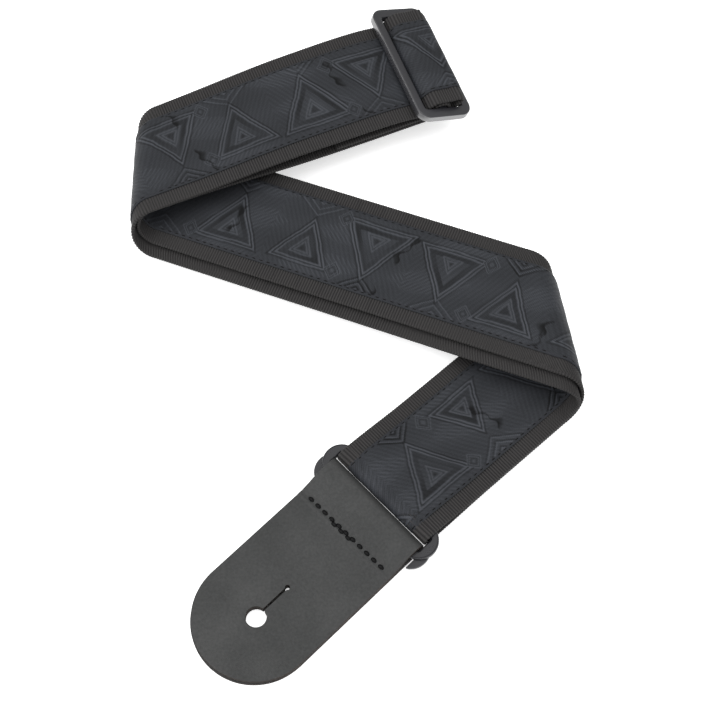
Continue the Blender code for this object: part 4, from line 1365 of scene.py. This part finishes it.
def upper_ply(t):
    """The height of the upper ply's inner face: it rises to the bar, with a pressed step by the seam."""
    base = LEATHER_THICKNESS + PLY_GAP
    slow = float(smooth((SEAM_AT + 1.2 - t) / 13.5))
    step = float(smooth((SEAM_AT + 2.6 - t) / 1.1))
    dip = SEAM_DIP * math.exp(-((t - SEAM_AT) / SEAM_DIP_HALF) ** 2)
    return base + PLY_STEP * step + (BAR_LEVEL + TAB_INNER - base - PLY_STEP) * slow - dip


def tab_rows():
    """(t, z, out_t, out_z) along the leather's inner face, from the tip over the bar and back."""
    round_angles = np.linspace(88.0, 0.0, 44)
    round_end = [TAB_TIP - HALF_WIDTH + HALF_WIDTH * math.sin(math.radians(a)) for a in round_angles]
    straight = list(np.linspace(TAB_TIP - HALF_WIDTH - 2.0, SEAM_AT + 5.0, 24))
    straight += list(np.linspace(SEAM_AT + 4.6, FOLD_CENTRE + 1.0, 60))
    forward = round_end + straight
    rows = [(t, upper_ply(t), 0.0, 1.0) for t in forward]
    for angle in np.radians(np.linspace(90.0, 270.0, 25)):
        rows.append((
            FOLD_CENTRE + TAB_INNER * math.cos(angle),
            BAR_LEVEL + TAB_INNER * math.sin(angle),
            math.cos(angle),
            math.sin(angle),
        ))
    for t in reversed(forward):
        lift = (BAR_LEVEL - TAB_INNER - LEATHER_THICKNESS) * float(smooth((SEAM_AT + 2.0 - t) / 14.0))
        rows.append((t, LEATHER_THICKNESS + lift, 0.0, -1.0))
    return rows


def lower_ply_reach(t, out_z):
    """How far the lower ply stands out past the upper one at the round end."""
    return LOWER_PLY_OUT * float(smooth((t - TAB_TIP + HALF_WIDTH) / 10.0)) if out_z < -0.99 else 0.0


def strip_loops(rows, place, half_of):
    """Four corners of the leather at each row."""
    loops = []
    for t, z, out_t, out_z in rows:
        half = half_of(t)
        t = t + lower_ply_reach(t, out_z)
        far_t = t + LEATHER_THICKNESS * out_t
        far_z = z + LEATHER_THICKNESS * out_z
        loops += [place(t, -half, z), place(t, half, z)]
        loops += [place(far_t, half, far_z), place(far_t, -half, far_z)]
    return np.array(loops)


# %% Cutting the button hole and slit
def prism(name, outline, place, low, high):
    """A closed cutter through an outline, between two heights."""
    points = [place(t, y, z) for z in (low, high) for t, y in outline]
    return make_mesh(name, np.array(points), tube_faces(2, len(outline)))


def cut_through(piece, cutters, rounding):
    """Cuts the shapes out, rounds the edges and keeps the result as a plain mesh."""
    for cutter in cutters:
        knife = piece.modifiers.new("knife", "BOOLEAN")
        knife.operation = "DIFFERENCE"
        knife.solver = "EXACT"
        knife.object = cutter
    round_off = piece.modifiers.new("round_off", "BEVEL")
    round_off.width = rounding * MM
    round_off.segments = 3
    round_off.limit_method = "ANGLE"
    round_off.angle_limit = math.radians(48.0)
    bpy.context.view_layer.update()
    graph = bpy.context.evaluated_depsgraph_get()
    finished = bpy.data.meshes.new_from_object(piece.evaluated_get(graph))
    piece.modifiers.clear()
    piece.data = finished
    for cutter in cutters:
        bpy.data.objects.remove(cutter)
    finished.shade_smooth()
    finished.set_sharp_from_angle(angle=math.radians(40.0))


def hole_cutters(name, place, low, high, hole_t):
    """The button hole, and the slit that runs from it to a small round eye."""
    circle = [
        (hole_t + HOLE_RADIUS * math.cos(a), HOLE_RADIUS * math.sin(a))
        for a in np.linspace(0.0, 2 * math.pi, 64, endpoint=False)
    ]
    start = hole_t - HOLE_RADIUS + 0.5
    end = start - SLIT_LENGTH
    slit = [(start, -SLIT_HALF), (start, SLIT_HALF)]
    slit += [(end + math.cos(a), math.sin(a)) for a in np.radians(np.linspace(28.0, 332.0, 24))]
    return [
        prism(name + "_hole", circle, place, low, high),
        prism(name + "_slit", slit, place, low - 0.1, high + 0.1),
    ]


EDGE_PAST_MOUTH = 12.0


def paint_leather(piece, across_way, tip_way, mouth):
    """Leather on the faces and the raw edge on the sides and the round tip."""
    mesh = piece.data
    mesh.materials.clear()
    mesh.materials.append(LEATHER)
    mesh.materials.append(RAW_EDGE)
    for face in mesh.polygons:
        normal = np.array(face.normal)
        side = abs(normal @ across_way) > 0.75
        beyond = (np.array(face.center) / MM - mouth) @ tip_way > EDGE_PAST_MOUTH
        if side or (beyond and abs(normal[2]) < 0.45):
            face.material_index = 1


tab_heading = HEADING + TAB_TURN
tab_across = np.array([-math.sin(tab_heading), math.cos(tab_heading), 0.0])
tab_forward = np.array([-math.cos(tab_heading), -math.sin(tab_heading), 0.0])
tab_rows_made = tab_rows()
end_tab = make_mesh(
    "folded_leather_tab",
    strip_loops(tab_rows_made, tab_place, tab_half_width),
    tube_faces(len(tab_rows_made), 4),
    sharp=40.0,
)
end_cutters = hole_cutters("end", tab_place, -1.0, 6.0, TAB_TIP - HOLE_FROM_TIP)
cut_through(end_tab, end_cutters, EDGE_ROUNDING)
paint_leather(end_tab, tab_across, tab_forward, TAB_ORIGIN)
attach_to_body(end_tab, "end_tab")
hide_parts("end_tab_leather")
print("leather tab made with", len(end_tab.data.polygons), "faces")

# %% [markdown]
# ## Stitches across the tab
#
# A heavier thread goes across the tab in long stitches. In the middle the machine went back over its own
# line to lock it, so a short second row lies beside the first. Each stitch is the same grain as before,
# made longer and thicker and laid across.

# %% The row across the tab
SEAM_PITCH = 3.9
SEAM_STITCH = (3.1, 1.6, 0.85)
SEAM_COUNT = 11
SEAM_DOUBLED = (4, 5, 6)
SECOND_ROW = 0.95
SEAM_SUNK = 0.05
FAR_SEAM_SUNK = 0.12
FAR_SEAM_AT = 10.0


def seam_grains(name, place, t, level):
    """The long row across a tab, and the short row beside its middle."""
    first = -(SEAM_COUNT - 1) / 2 * SEAM_PITCH
    centres = [(t, first + k * SEAM_PITCH) for k in range(SEAM_COUNT)]
    centres += [(t + SECOND_ROW, first + (k + 0.45) * SEAM_PITCH) for k in SEAM_DOUBLED]

    def put(centre, points):
        return np.array([place(centre[0] + p[1], centre[1] + p[0], level + p[2]) for p in points])

    return many_grains(name, grain(*SEAM_STITCH, rings=7, sides=8), centres, put)


seam_level = upper_ply(SEAM_AT) + LEATHER_THICKNESS - SEAM_SUNK
end_seam = seam_grains("tab_seam", tab_place, SEAM_AT, seam_level)
end_seam.data.materials.append(THREAD)
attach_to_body(end_seam, "end_tab")
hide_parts("end_tab_stitches")

# %% The far tab
FAR_POCKET_HALF = WEBBING_THICKNESS / 2 + 0.3
FAR_OUTER = FAR_POCKET_HALF + LEATHER_THICKNESS
FAR_THIN = LEATHER_THICKNESS + PLY_GAP / 2
FAR_POCKET = FAR_TAB_START - TAIL_END + 0.6
FAR_SLOPE = 8.0


def far_place(t, y, z):
    """A place on the far tab: t from its mouth towards its tip, z off its middle."""
    u = FAR_TAB_START - t
    return lay(u, y + TAIL_SLIP, tail_level(u) - WEBBING_THICKNESS / 2 + z, UPPER_TWIST)


def far_tab_rows():
    """(t, half height): thick over the pocket, then thinner to the round tip."""
    round_start = TAB_LENGTH - HALF_WIDTH
    slope = np.linspace(FAR_POCKET + 1.0, FAR_POCKET + FAR_SLOPE, 8)
    drop = (FAR_THIN - FAR_OUTER) * smooth((slope - FAR_POCKET) / FAR_SLOPE)
    thin = list(np.linspace(FAR_POCKET + FAR_SLOPE + 1.0, round_start, 10)[:-1])
    thin += [round_start + HALF_WIDTH * math.sin(math.radians(a)) for a in np.linspace(0.0, 88.0, 44)]
    rows = [(t, FAR_OUTER) for t in np.linspace(0.0, FAR_POCKET, 14)]
    rows += [(t, FAR_OUTER + float(change)) for t, change in zip(slope, drop)]
    return rows + [(t, FAR_THIN) for t in thin]


def far_tab_points(rows):
    """Four corners of the far tab at each row. Its lower face stays flat."""
    loops = []
    for t, half_height in rows:
        half = tab_half_width(t, TAB_LENGTH)
        high = 2 * half_height - FAR_OUTER
        loops += [far_place(t, -half, -FAR_OUTER), far_place(t, half, -FAR_OUTER)]
        loops += [far_place(t, half, high), far_place(t, -half, high)]
    return np.array(loops)


far_rows = far_tab_rows()
far_tab = make_mesh("far_leather_tab", far_tab_points(far_rows), tube_faces(len(far_rows), 4), sharp=40.0)
wide = HALF_WIDTH + 1.0
pocket_outline = [(-1.0, -wide), (-1.0, wide), (FAR_POCKET, wide), (FAR_POCKET, -wide)]
far_cutters = [prism("far_pocket", pocket_outline, far_place, -FAR_POCKET_HALF, FAR_POCKET_HALF)]
far_cutters += hole_cutters(
    "far", far_place, -FAR_OUTER - 1.0, FAR_OUTER + 1.0, TAB_LENGTH - HOLE_FROM_TIP
)
cut_through(far_tab, far_cutters, FAR_EDGE_ROUNDING)
far_across = far_place(40.0, 1.0, 0.0) - far_place(40.0, 0.0, 0.0)
far_forward = far_place(41.0, 0.0, 0.0) - far_place(40.0, 0.0, 0.0)
paint_leather(far_tab, far_across, far_forward, far_place(0.0, 0.0, 0.0))
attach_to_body(far_tab, "upper_run")
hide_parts("far_tab_leather")

far_seam = seam_grains("far_tab_seam", far_place, FAR_SEAM_AT, FAR_OUTER - FAR_SEAM_SUNK)
far_seam.data.materials.append(THREAD)
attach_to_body(far_seam, "upper_run")
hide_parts("far_tab_stitches")
print("far tab made with", len(far_tab.data.polygons), "faces")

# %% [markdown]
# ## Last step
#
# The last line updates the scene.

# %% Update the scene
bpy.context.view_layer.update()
